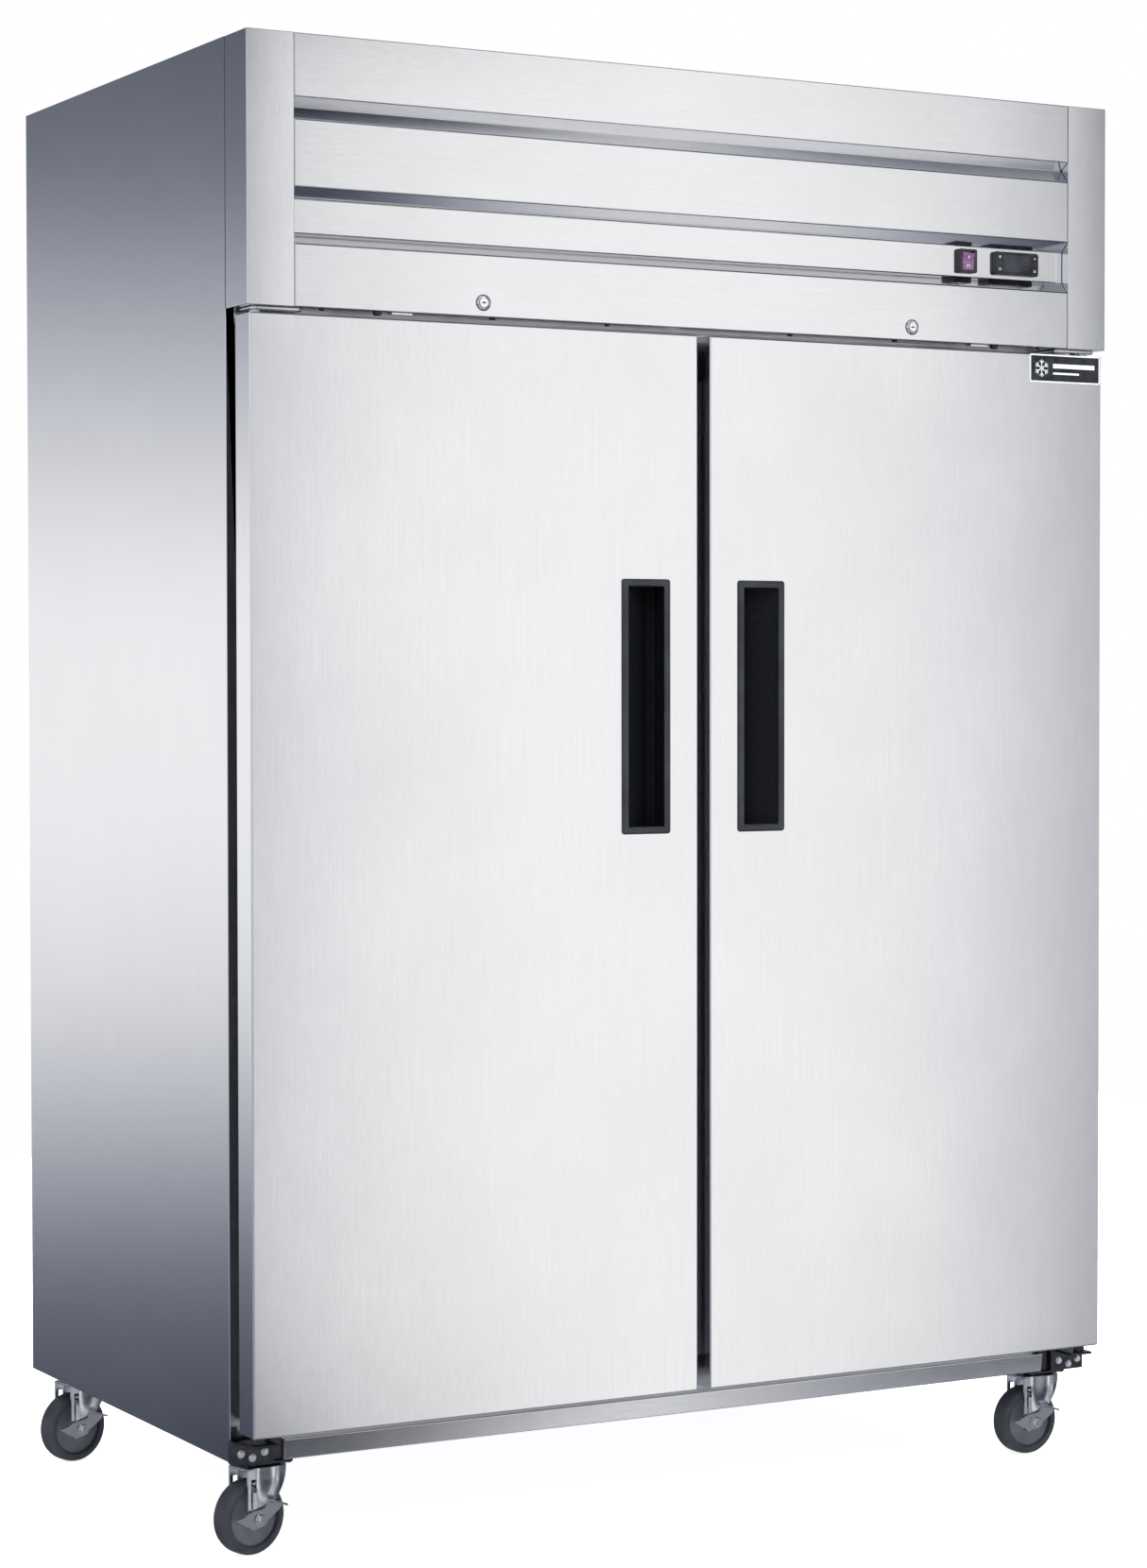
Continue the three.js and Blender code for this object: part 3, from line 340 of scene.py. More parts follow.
def make_materials():
    brushed_steel("steel_upright", "Z")
    brushed_steel("steel_level", "X")
    # darker copies of the sheet's steel for the header's folds, sill and fold ends: painted shade
    brushed_steel("steel_fold_painted_shade", "X", (0.74, 0.745, 0.77), 0.08)
    brushed_steel("steel_ledge_painted_shade", "X", (0.6, 0.605, 0.63), 0.1)
    brushed_steel("steel_corner_painted_shade", "X", (0.2, 0.205, 0.225), 0.2)
    brushed_steel("steel_dull", "X", (0.5, 0.51, 0.55), 0.3, "zinc_steel")
    brushed_steel("liner_steel", "Z", (0.74, 0.75, 0.765), 0.32)

    look = Surface("galvanised", "galvanised_steel", (0.62, 0.64, 0.66), 1.0, 0.42)
    mapped = look.add("Mapping", {"Vector": look.where, "Scale": (90, 90, 90)}).outputs[0]
    spangle = look.add("TexVoronoi", {"Vector": mapped, "Scale": 1.0}).outputs["Color"]
    look.tint(spangle, (0.78, 0.8, 0.83), 0.8, 0.2, 0.9)
    look.rough(spangle, 0.25)
    look.relief(look.grain(300), 0.1, 0.1 * MM)

    # dark steel of the hinges and header screws; on the caster plates it serves as painted shade
    look = Surface("hinge_dark_and_plate_shade", "hinge_steel", (0.11, 0.115, 0.13), 1.0, 0.4)
    look.tint(look.grain(60, detail=4), (0.06, 0.063, 0.07), 0.8)
    look.rough(look.grain(900), 0.25)
    look.relief(look.grain(1500), 0.25, 0.08 * MM)
    look.worn_edges_and_highlight((0.5, 0.51, 0.55), 0.6 * MM, 0.8)

    look = Surface("zinc", "zinc_steel", (0.86, 0.87, 0.9), 1.0, 0.22)
    look.tint(look.grain(40, detail=4), (0.76, 0.77, 0.81), 0.5)
    look.tint(look.grain(500, (1, 1, 12)), (0.8, 0.81, 0.84), 0.4)
    look.rough(look.grain(120, detail=4), 0.14)
    look.relief(look.grain(400), 0.04, 0.04 * MM)

    look = Surface("chrome", "chrome", (0.9, 0.905, 0.93), 1.0, 0.08)
    look.tint(look.grain(200), (0.8, 0.81, 0.84), 0.4)
    look.rough(look.grain(400, detail=4), 0.08)
    look.relief(look.grain(250), 0.05, 0.05 * MM)

    look = Surface("moulded_black", "black_plastic", (0.012, 0.013, 0.017), 0.0, 0.42)
    look.tint(look.grain(14, detail=4), (0.026, 0.028, 0.035), 0.8)
    look.rough(look.grain(800), 0.2)
    look.relief(look.grain(1400, detail=2), 0.35, 0.12 * MM)
    look.worn_edges_and_highlight((0.09, 0.095, 0.11), 0.8 * MM, 0.7)

    # near-black plastic with little sheen for the depths of the handle pockets: painted shade
    look = Surface("pocket_painted_shade", "black_plastic", (0.003, 0.0033, 0.0043), 0.0, 0.5, Specular_IOR_Level=0.1)
    look.tint(look.grain(260, detail=3), (0.006, 0.0065, 0.008), 0.8)
    look.rough(look.grain(800), 0.2)
    look.relief(look.grain(1400, detail=2), 0.5, 0.15 * MM)

    look = Surface("gloss_black", "black_plastic", (0.006, 0.0065, 0.008), 0.0, 0.2, Specular_IOR_Level=0.35)
    look.tint(look.grain(60), (0.02, 0.021, 0.026), 0.8)
    look.rough(look.grain(250, detail=4), 0.12)
    look.relief(look.grain(120), 0.04, 0.1 * MM)

    look = Surface("smoked_window", "black_plastic", (0.009, 0.0095, 0.012), 0.0, 0.12,
                   Specular_IOR_Level=0.3)
    look.tint(look.grain(30), (0.03, 0.033, 0.04), 0.8)
    look.rough(look.grain(500, detail=4), 0.1)

    look = Surface("print_white", "black_plastic", (0.6, 0.61, 0.64), 0.0, 0.5)
    look.tint(look.grain(900), (0.45, 0.46, 0.5), 0.8)
    look.rough(look.grain(900), 0.2)

    look = Surface("unlit_segment", "black_plastic", (0.02, 0.021, 0.026), 0.0, 0.35)
    look.tint(look.grain(500), (0.03, 0.032, 0.038), 0.8)
    look.rough(look.grain(500), 0.15)

    look = Surface("trim", "dark_trim", (0.18, 0.19, 0.225), 0.0, 0.4)
    look.tint(look.grain(8, (1, 1, 6), 4), (0.22, 0.23, 0.26), 0.8)
    look.rough(look.grain(600), 0.15)
    look.relief(look.grain(500, (1, 1, 20)), 0.15, 0.08 * MM)

    look = Surface("gasket", "gasket_rubber", (0.018, 0.019, 0.024), 0.0, 0.62)
    look.tint(look.grain(35, detail=5), (0.04, 0.042, 0.048), 0.6)
    look.rough(look.grain(300), 0.2)
    look.relief(look.grain(700), 0.2, 0.12 * MM)

    look = Surface("shelf_epoxy", "shelf_coating", (0.8, 0.81, 0.8), 0.0, 0.32, Coat_Weight=0.3)
    look.tint(look.grain(25, detail=4), (0.72, 0.72, 0.69), 0.7)
    look.rough(look.grain(300), 0.15)
    look.relief(look.grain(350), 0.3, 0.15 * MM)

    look = Surface("rocker_lens", "switch_lens", (0.13, 0.055, 0.13), 0.0, 0.22,
                   Transmission_Weight=0.25, Subsurface_Weight=0.15, Coat_Weight=0.3)
    look.tint(look.grain(160, detail=4), (0.22, 0.11, 0.23), 0.8)
    look.rough(look.grain(500), 0.12)
    look.relief(look.grain(600), 0.1, 0.08 * MM)

    look = Surface("enamel", "black_enamel", (0.012, 0.012, 0.014), 0.0, 0.28, Coat_Weight=0.5)
    look.tint(look.grain(20, detail=5), (0.04, 0.04, 0.042), 0.6)
    look.rough(look.grain(60, detail=4), 0.25)
    look.relief(look.grain(280), 0.2, 0.15 * MM)

    look = Surface("fins", "aluminium_fins", (0.74, 0.75, 0.76), 1.0, 0.38)
    look.tint(look.grain(45, detail=4), (0.55, 0.56, 0.57), 0.7)
    look.rough(look.grain(200), 0.25)
    look.relief(look.grain(260), 0.25, 0.15 * MM)

    for name, color in (("tread", (0.018, 0.02, 0.026)), ("wheel_core", (0.065, 0.07, 0.087))):
        look = Surface(name, "caster_tread", color, 0.0, 0.5)
        look.tint(look.grain(30, detail=5), [c * 1.5 for c in color], 0.7)
        look.rough(look.grain(500), 0.25)
        look.relief(look.grain(900), 0.3, 0.12 * MM)
        # the lighter rims are partly wear and partly a painted highlight on the wheel's rim lip
        look.worn_edges_and_highlight([c * 3 for c in color], 1.2 * MM, 0.6)

    look = Surface("copper", "copper_tube", (0.74, 0.4, 0.26), 1.0, 0.26)
    look.tint(look.grain(50, detail=5), (0.36, 0.2, 0.14), 0.8)
    look.rough(look.grain(120), 0.3)
    look.relief(look.grain(400), 0.15, 0.1 * MM)

    look = Surface("lamp_lens", "lamp_cover", (0.88, 0.9, 0.93), 0.0, 0.3, Transmission_Weight=0.3)
    look.tint(look.grain(70), (0.78, 0.8, 0.83), 0.6)
    look.rough(look.grain(500), 0.15)
    look.relief(look.grain(220, (1, 8, 1)), 0.4, 0.3 * MM)


# ---------------------------------------------------------------- shape helpers
def millimetres(points):
    return [tuple(value * MM for value in point) for point in points]


def facing(direction, place):
    """A local frame whose Z points out along a direction.

    X is to the viewer's right and Y is up, or north on a top."""
    columns = {
        "front": ((1, 0, 0), (0, 0, 1), (0, -1, 0)),
        "back": ((-1, 0, 0), (0, 0, 1), (0, 1, 0)),
        "left": ((0, -1, 0), (0, 0, 1), (-1, 0, 0)),
        "right": ((0, 1, 0), (0, 0, 1), (1, 0, 0)),
        "up": ((1, 0, 0), (0, 1, 0), (0, 0, 1)),
        "down": ((-1, 0, 0), (0, 1, 0), (0, 0, -1)),
    }[direction]
    return Matrix.Translation(place) @ Matrix(columns).transposed().to_4x4()


def border(grid):
    """The points round the edge of a grid of rows, in order."""
    right = [row[-1] for row in grid[1:]]
    left = [row[0] for row in grid[-2:0:-1]]
    return grid[0] + right + grid[-1][-2::-1] + left


def join_rings(bm, rings, closed=False, filled=True):
    """Walls between rings of vertices, with end faces unless the rings join up."""
    pairs = list(zip(rings, rings[1:]))
    if closed:
        pairs.append((rings[-1], rings[0]))
    for lower, upper in pairs:
        count = max(len(lower), len(upper))
        for i in range(count):
            j = (i + 1) % count
            corners = [lower[i % len(lower)], lower[j % len(lower)], upper[j % len(upper)],
                       upper[i % len(upper)]]
            bm.faces.new(list(dict.fromkeys(corners)))
    if filled and not closed:
        for ring in (rings[0], rings[-1]):
            if len(ring) > 2:
                bm.faces.new(ring)


def panel(bm, width, height, profile, at=HERE, corner=0.3 * MM, steps=4, closed=False):
    """A stack of rounded rectangles in local XY: each profile point is (inset, rise)."""
    rings = []
    for inset, rise in profile:
        radius = max(corner - inset, 0.05 * MM)
        x, y = width / 2 - inset - radius, height / 2 - inset - radius
        ring = []
        for quarter, (u, v) in enumerate(((1, 1), (-1, 1), (-1, -1), (1, -1))):
            for step in range(steps + 1):
                angle = math.pi / 2 * (quarter + step / steps)
                point = (u * x + radius * math.cos(angle), v * y + radius * math.sin(angle), rise)
                ring.append(bm.verts.new(at @ Vector(point)))
        rings.append(ring)
    join_rings(bm, rings, closed)


def slab_profile(depth, front=0.8 * MM, back=0.3 * MM, steps=3):
    """From a back edge round to the front of a slab, with rounded edges."""
    points = [(back, 0), (0, back)]
    for step in range(steps + 1):
        angle = math.pi / 2 * step / steps
        points.append((front * (1 - math.cos(angle)), depth - front * (1 - math.sin(angle))))
    return points


def slab(bm, width, height, depth, at=HERE, corner=0.8 * MM, front=0.8 * MM, back=0.3 * MM):
    panel(bm, width, height, slab_profile(depth, front, back), at, corner)


def block(bm, low, high, radius=0.3 * MM, at=HERE):
    """A block with rounded edges between two corners."""
    low, high = Vector(low), Vector(high)
    size = high - low
    radius = min(radius, min(size) * 0.45)
    middle = Matrix.Translation(((low.x + high.x) / 2, (low.y + high.y) / 2, low.z))
    slab(bm, size.x, size.y, size.z, at @ middle, radius, radius, radius)


def prism(bm, outline, depth, at=HERE, bevel=0.0):
    """A closed outline in local XY drawn out along Z, with its two rims bevelled."""
    outline = [Vector(p).to_2d() for p in outline]
    if sum(a.cross(b) for a, b in zip(outline, outline[1:] + outline[:1])) < 0:
        outline.reverse()

    def inset(distance):
        moved = []
        for before, here, after in zip(outline[-1:] + outline[:-1], outline, outline[1:] + outline[:1]):
            a, b = (here - before).normalized(), (after - here).normalized()
            out = Vector((-a.y - b.y, a.x + b.x))
            bend = max(1 + a.dot(b), 0.3)
            moved.append(here + out * (distance / bend))
        return moved

    stops = [(0, 0), (0, depth)]
    if bevel:
        stops = [(bevel, 0), (0, bevel), (0, depth - bevel), (bevel, depth)]
    rings = [[bm.verts.new(at @ p.to_3d() + at.to_3x3() @ Vector((0, 0, rise))) for p in inset(shift)]
             for shift, rise in stops]
    join_rings(bm, rings)


def lathe(bm, profile, at=HERE, steps=32, closed=False):
    """(radius, height) points turned about local Z."""
    rings = []
    for radius, height in profile:
        if radius < 1e-7:
            rings.append([bm.verts.new(at @ Vector((0, 0, height)))])
            continue
        angles = [2 * math.pi * i / steps for i in range(steps)]
        rings.append([bm.verts.new(at @ Vector((radius * math.cos(a), radius * math.sin(a),
                                                height))) for a in angles])
    join_rings(bm, rings, closed)


def rod(bm, radius, low, high, at=HERE, steps=20, bevel=0.3 * MM):
    lathe(bm, [(radius - bevel, low), (radius, low + bevel), (radius, high - bevel),
               (radius - bevel, high)], at, steps)


def tube(bm, points, radius, sides=10, closed=False):
    """A round bar along a line of points."""
    points = [Vector(p) for p in points]
    last = len(points) - 1
    tangents = []
    for i, point in enumerate(points):
        before = points[i - 1] if i or closed else point
        after = points[(i + 1) % len(points)] if i < last or closed else point
        tangents.append((after - before).normalized())
    normal = tangents[0].orthogonal().normalized()
    rings = []
    for point, along in zip(points, tangents):
        normal = (normal - along * normal.dot(along)).normalized()
        side = along.cross(normal)
        angles = [2 * math.pi * k / sides for k in range(sides)]
        around = [math.cos(a) * normal + math.sin(a) * side for a in angles]
        rings.append([bm.verts.new(point + radius * direction) for direction in around])
    join_rings(bm, rings, closed)


def fillet(points, radius, steps=4, closed=False):
    """Rounds the corners of a line of points."""
    points = [Vector(p) for p in points]
    count = len(points)
    out = []
    for i, corner in enumerate(points):
        if not closed and i in (0, count - 1):
            out.append(corner)
            continue
        before, after = points[i - 1], points[(i + 1) % count]
        reach = min(radius, (before - corner).length * 0.49, (after - corner).length * 0.49)
        start = corner + (before - corner).normalized() * reach
        end = corner + (after - corner).normalized() * reach
        for step in range(steps + 1):
            t = step / steps
            out.append(start * (1 - t) ** 2 + corner * 2 * t * (1 - t) + end * t ** 2)
    return out


def circle(radius, place=(0, 0), steps=24, start=0.0, sweep=2 * math.pi):
    """Points on a circle, or on an arc of it when sweep is smaller."""
    full = abs(sweep - 2 * math.pi) < 1e-6
    count = steps if full else steps + 1
    angles = [start + sweep * i / steps for i in range(count)]
    return [(place[0] + radius * math.cos(a), place[1] + radius * math.sin(a)) for a in angles]


def temporary(bm, name):
    mesh = bpy.data.meshes.new(name)
    bmesh.ops.recalc_face_normals(bm, faces=bm.faces)
    bm.to_mesh(mesh)
    bm.free()
    obj = bpy.data.objects.new(name, mesh)
    bpy.context.scene.collection.objects.link(obj)
    return obj


def carve(bm, cutter):
    """The first shape with the second one cut out of it."""
    whole, tool = temporary(bm, "whole"), temporary(cutter, "tool")
    modifier = whole.modifiers.new("cut", "BOOLEAN")
    modifier.object = tool
    modifier.solver = "EXACT"
    evaluated = whole.evaluated_get(bpy.context.evaluated_depsgraph_get())
    result = bmesh.new()
    result.from_mesh(evaluated.to_mesh())
    evaluated.to_mesh_clear()
    for obj in (whole, tool):
        mesh = obj.data
        bpy.data.objects.remove(obj)
        bpy.data.meshes.remove(mesh)
    return result


def merge(bm, other, matrix=HERE):
    """Adds a second shape to the first."""
    mesh = bpy.data.meshes.new("part")
    other.transform(matrix)
    other.to_mesh(mesh)
    other.free()
    bm.from_mesh(mesh)
    bpy.data.meshes.remove(mesh)


def piece(name, bm, look, body, replaces=(), smooth=40):
    """Turns a finished shape into a piece that rides on a body."""
    bmesh.ops.recalc_face_normals(bm, faces=bm.faces)
    if bm.calc_volume(signed=True) < 0:
        bmesh.ops.reverse_faces(bm, faces=bm.faces)
    mesh = bpy.data.meshes.new(name)
    bm.to_mesh(mesh)
    bm.free()
    mesh.shade_smooth()
    mesh.set_sharp_from_angle(angle=math.radians(smooth))
    mesh.materials.append(LOOKS[look])
    made = bpy.data.objects.new(name, mesh)
    bpy.context.scene.collection.objects.link(made)
    weighted = made.modifiers.new("flat_faces", "WEIGHTED_NORMAL")
    weighted.keep_sharp = True
    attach(made, body)
    if replaces:
        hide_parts(*replaces)
    return made


def refine(node, look, radius=0.8 * MM, segments=2):
    """A copy of a CAD node with merged facets and rounded edges stands for the node."""
    bm = bmesh.new()
    bm.from_mesh(frame["nodes"][node].data)
    bmesh.ops.remove_doubles(bm, verts=bm.verts, dist=0.02 * MM)
    bmesh.ops.dissolve_limit(bm, angle_limit=math.radians(1), verts=bm.verts, edges=bm.edges)

    def roomy(edge):
        if len(edge.link_faces) != 2 or edge.calc_face_angle() < math.radians(25):
            return False
        return min(face.calc_area() for face in edge.link_faces) / edge.calc_length() > 2.2 * radius

    edges = [edge for edge in bm.edges if roomy(edge)]
    bmesh.ops.bevel(bm, geom=edges, offset=radius, segments=segments, profile=0.5, affect="EDGES",
                    clamp_overlap=False)
    return piece(node + "_finished", bm, look, BODY[node], [node])


def middle(node):
    low, high = BOX[node]
    return (low + high) / 2


def screw(bm, at, radius=4.5 * MM, height=2.4 * MM, drive=True):
    """A pan head with a cross socket, standing on local Z = 0."""
    if not drive:
        lathe(bm, [(radius, 0), (radius, height * 0.45), (radius * 0.8, height * 0.85), (0, height)], at, 20)
        return
    socket = radius * 0.42
    profile = [(radius, 0), (radius, height * 0.45), (radius * 0.82, height * 0.86), (socket * 1.25, height),
               (socket, height * 0.95), (socket * 0.6, height * 0.25), (0, height * 0.2)]
    lathe(bm, profile, at, 20)


def hex_head(bm, at, across=13 * MM, height=5 * MM):
    outline = circle(across / math.sqrt(3), steps=6)
    prism(bm, outline, height, at, 0.6 * MM)


# ---------------------------------------------------------------- cabinet shell
RAIL_LEAN = 8         # degrees


def make_shell():
    for name in SIDES:
        refine(f"{name}_side_wall", "steel_upright", 0.9 * MM)
        refine(f"header_post_{name}", "steel_upright", 0.9 * MM)
    refine("rear_wall", "steel_upright")
    refine("cabinet_floor", "liner_steel")
    refine("cabinet_ceiling", "liner_steel")
    make_rail()
    header = refine("header_panel", "steel_level", 1.6 * MM)
    painted_shade_steels = ["steel_fold_painted_shade", "steel_ledge_painted_shade", "steel_corner_painted_shade"]
    for fold in painted_shade_steels:
        header.data.materials.append(LOOKS[fold])
    # painted shade: the folds get darker copies of the sheet's steel than its flat, their ends darkest, then the
    # recess's sill, then what looks down
    for face in header.data.polygons:
        across, outward, up = face.normal
        if 0.5 < abs(across) < 0.95:
            face.material_index = 3
        elif 0.5 < abs(up) < 0.95 and outward < 0 and face.area > 1e-3:
            if up < 0:
                face.material_index = 1
            elif face.center.z < middle("header_panel").z:
                face.material_index = 2
    for side in SIDES.values():
        make_seam(side)
    refine("center_mullion", "trim", 1.5 * MM)


def make_seam(side):
    """The dark joint between a header post and the side wall behind it."""
    post_low, post_high = BOX["header_post_right"]
    bm = bmesh.new()
    reach = sorted((side * (cad_side - 0.5 * MM), side * (cad_side + 0.3 * MM)))
    y = post_high.y
    block(bm, (reach[0], y - 0.8 * MM, post_low.z + 1 * MM), (reach[1], y + 0.8 * MM, post_high.z - 1 * MM),
          0.2 * MM)
    piece("header_seam_left" if side < 0 else "header_seam_right", bm, "gasket", "cabinet")


def make_rail():
    """The strip under the doors: its face leans back towards the floor."""
    low, high = BOX["bottom_rail"]
    lean = (high.z - low.z) * math.tan(math.radians(RAIL_LEAN))
    outline = [(low.y, high.z), (low.y + lean, low.z), (high.y, low.z), (high.y, high.z)]
    bm = bmesh.new()
    rounded = fillet(outline, 1.5 * MM, closed=True)
    prism(bm, rounded, high.x - low.x, facing("right", (low.x, 0, 0)), 0.4 * MM)
    piece("bottom_rail_strip", bm, "steel_level", "cabinet", ["bottom_rail"])
    bm = bmesh.new()
    for side in SIDES.values():
        reach = sorted((side * (high.x + 0.3 * MM), side * (high.x + 16 * MM)))
        block(bm, (reach[0], high.y - 9 * MM, low.z), (reach[1], high.y, high.z + 14 * MM), 0.5 * MM)
    piece("bottom_rail_ends", bm, "gasket", "cabinet")


# ---------------------------------------------------------------- doors
PAN_RADIUS = 2.2 * MM
HANDLE_INSET = 3.5 * MM          # the door's cut-out is smaller than the pull's rim


def make_door(name, side):
    body = f"door_{name}"
    low, high = BOX[body]
    gasket_low, gasket_high = BOX[f"door_gasket_{name}"]
    handle_low, handle_high = BOX[f"door_handle_{name}"]
    back = gasket_low.y - 0.3 * MM
    centre = (low + high) / 2
    pan = bmesh.new()
    size = high - low
    at = facing("front", (centre.x, back, centre.z))
    slab(pan, size.x, size.z, back - low.y, at, 1.5 * MM, PAN_RADIUS, 0.8 * MM)
    cutter = bmesh.new()
    grow = Vector((HANDLE_INSET, -5 * MM, HANDLE_INSET))
    block(cutter, handle_low + grow, handle_high - Vector((HANDLE_INSET, -0.6 * MM, HANDLE_INSET)), 1 * MM)
    pivot = Vector(JOINT[f"door_{name}_swing"]["pos_m"])
    for z in (low.z, high.z):
        rod(cutter, 4.6 * MM, z - 20 * MM, z + 20 * MM, Matrix.Translation((pivot.x, pivot.y, 0)))
    lock = Vector(JOINT[f"lock_{name}_turn"]["pos_m"])
    cam = BOX[f"door_lock_{name}"][1].y
    block(cutter, (lock.x - 8 * MM, cam - 6 * MM, high.z - 14 * MM),
          (lock.x + 31 * MM, cam + 3 * MM, high.z + 5 * MM))
    piece(f"{body}_pan", carve(pan, cutter), "steel_upright", body, [body])

    inset = gasket_low.x - low.x if side > 0 else high.x - gasket_high.x
    liner = bmesh.new()
    rise = high.y - back
    border = inset + 21 * MM
    profile = [(0, -1 * MM), (0, rise - 4 * MM), (1.2 * MM, rise - 1 * MM), (4 * MM, rise), (32 * MM, rise),
               (35 * MM, rise - 2.5 * MM), (43 * MM, rise - 2.5 * MM), (46 * MM, rise)]
    panel(liner, size.x - 2 * border, size.z - 2 * border, profile,
          facing("back", (centre.x, back, centre.z)), 6 * MM)
    piece(f"{body}_liner", liner, "liner_steel", body)


GASKET_OUTLINE = [(1, 0), (19, 0), (19.6, 2.6), (16, 5), (17.4, 8), (14.6, 10.4), (18.6, 12.2), (19.6, 15),
                  (18.4, 19.2), (12, 20.4), (5, 20.2), (2, 18.6), (0.8, 15), (3, 12), (1.8, 9), (5.4, 6.4),
                  (0.4, 3.4)]


def make_gasket(name):
    node = f"door_gasket_{name}"
    low, high = BOX[node]
    bm = bmesh.new()
    profile = [(inset * MM, rise * MM) for inset, rise in GASKET_OUTLINE]
    at = facing("back", (middle(node).x, low.y, middle(node).z))
    panel(bm, high.x - low.x, high.z - low.z, profile, at, 3 * MM, closed=True)
    piece(f"{node}_profile", bm, "gasket", f"door_{name}", [node], 50)


def make_handle(name, side):
    node = f"door_handle_{name}"
    low, high = BOX[node]
    face = low.y + 2.8 * MM
    size = high - low
    centre = middle(node)
    at = facing("front", (centre.x, face, centre.z))
    body = bmesh.new()
    rim = [(0.6, -0.3), (0, 0.2), (0, 0.9), (0.6, 2.0), (1.8, 2.7), (2.6, 2.8), (4.9, 2.8), (5.2, 2.35),
           (5.7, 2.35),
           (6.0, 2.8), (9.0, 2.8)]
    panel(body, size.x, size.z, [(u * MM, v * MM) for u, v in rim], at, 4.5 * MM, 6)
    block(body, low + Vector((4 * MM, 4 * MM, 4 * MM)), high - Vector((4 * MM, 0, 4 * MM)), 1.5 * MM)

    free, hinge = side * (low.x if side > 0 else high.x), side * (high.x if side > 0 else low.x)
    deep = high.y - 3 * MM
    border = 10 * MM
    well = [(free + border, face - 9 * MM), (free + border, face + 1 * MM), (free + 7 * MM, face + 4 * MM),
            (free + 7 * MM, deep), (free + 20 * MM, deep), (hinge - border, face + 2 * MM),
            (hinge - border, face - 9 * MM)]
    outline = fillet([(side * x, y) for x, y in well], 3 * MM, closed=True)
    cutter = bmesh.new()
    prism(cutter, outline, size.z - 2 * border, Matrix.Translation((0, 0, low.z + border)), 1.2 * MM)
    body = carve(body, cutter)
    flare = bmesh.new()
    mouth = [(border - 1.0 * MM, 4 * MM), (border - 1.0 * MM, 2.7 * MM), (border - 0.3 * MM, 2.4 * MM),
             (border + 0.1 * MM, 1.7 * MM)]
    panel(flare, size.x, size.z, mouth, at, 2 * MM)
    body = carve(body, flare)
    mouth_low, mouth_high = low + Vector((border, 0, border)), high - Vector((border, 0, border))
    # faces inside the pocket's mouth take the second material, painted shade for the pocket's depth
    for wall in body.faces:
        place = wall.calc_center_median()
        beside = mouth_low.x - 4 * MM < place.x < mouth_high.x + 4 * MM
        within = beside and mouth_low.z < place.z < mouth_high.z
        wall.material_index = int(within and place.y > face)
    pull = piece(f"{node}_pull", body, "moulded_black", f"door_{name}", [node], 35)
    pull.data.materials.append(LOOKS["pocket_painted_shade"])


def make_badge():
    """A blank black plate with a bright rim in the top outer corner of the right door."""
    low, high = BOX["door_right"]
    width, height = 129.5 * MM, 42 * MM
    centre = Vector((high.x - 3 * MM - width / 2, low.y, high.z - 0.5 * MM - height / 2))
    rim = bmesh.new()
    profile = [(0, 0), (0, 1.0), (0.4, 1.6), (2.0, 1.6), (2.4, 1.1), (2.4, 0)]
    panel(rim, width, height, [(u * MM, v * MM) for u, v in profile], facing("front", centre), 3 * MM,
          closed=True)
    piece("badge_rim", rim, "print_white", "door_right")
    plate = bmesh.new()
    inner = [(2.3, 0.1), (2.3, 0.9), (2.9, 1.1)]
    panel(plate, width, height, [(u * MM, v * MM) for u, v in inner], facing("front", centre), 3 * MM)
    piece("badge_plate", plate, "gloss_black", "door_right")
    marks = bmesh.new()
    top = facing("front", centre + Vector((0, -1.1 * MM, 0)))
    flake = Vector((-width * 0.33, 0))
    for step in range(6):
        turn = Matrix.Rotation(math.pi / 3 * step, 2)
        arm = 13 * MM
        bar(marks, flake, flake + turn @ Vector((0, arm)), 1.5 * MM, top)
        for branch in (-1, 1):
            root = turn @ Vector((0, arm * 0.55))
            tip = turn @ Vector((branch * arm * 0.28, arm * 0.85))
            bar(marks, flake + root, flake + tip, 1.3 * MM, top)
    for rise, start, end, thick in ((4, -0.17, 0.42, 6.5), (-7, -0.17, 0.2, 3)):
        bar(marks, Vector((start * width, rise * MM)), Vector((end * width, rise * MM)), thick * MM, top)
    piece("badge_marks", marks, "print_white", "door_right")


def make_doors():
    for name, side in SIDES.items():
        make_door(name, side)
        make_gasket(name)
        make_handle(name, side)
    make_badge()


# ---------------------------------------------------------------- locks, hinges and the gap under the header
LOCK_FACE = [(0, 2.5), (5.8, 2.5), (6.0, 2.1), (6.5, 2.1), (6.7, 2.6), (8.0, 2.9), (8.8, 2.8), (9.6, 2.2),
             (10.2, 1.2),
             (10.5, 0.3), (8.5, 0.25), (8.5, -30.5), (0, -30.5)]
KEYHOLE = [(-3.7, -0.6), (-0.8, -0.6), (-0.8, -1.9), (0.8, -1.9), (0.8, -0.6), (3.7, -0.6),
           (3.7, 0.6), (0.8, 0.6), (0.8, 1.9), (-0.8, 1.9), (-0.8, 0.6), (-3.7, 0.6)]


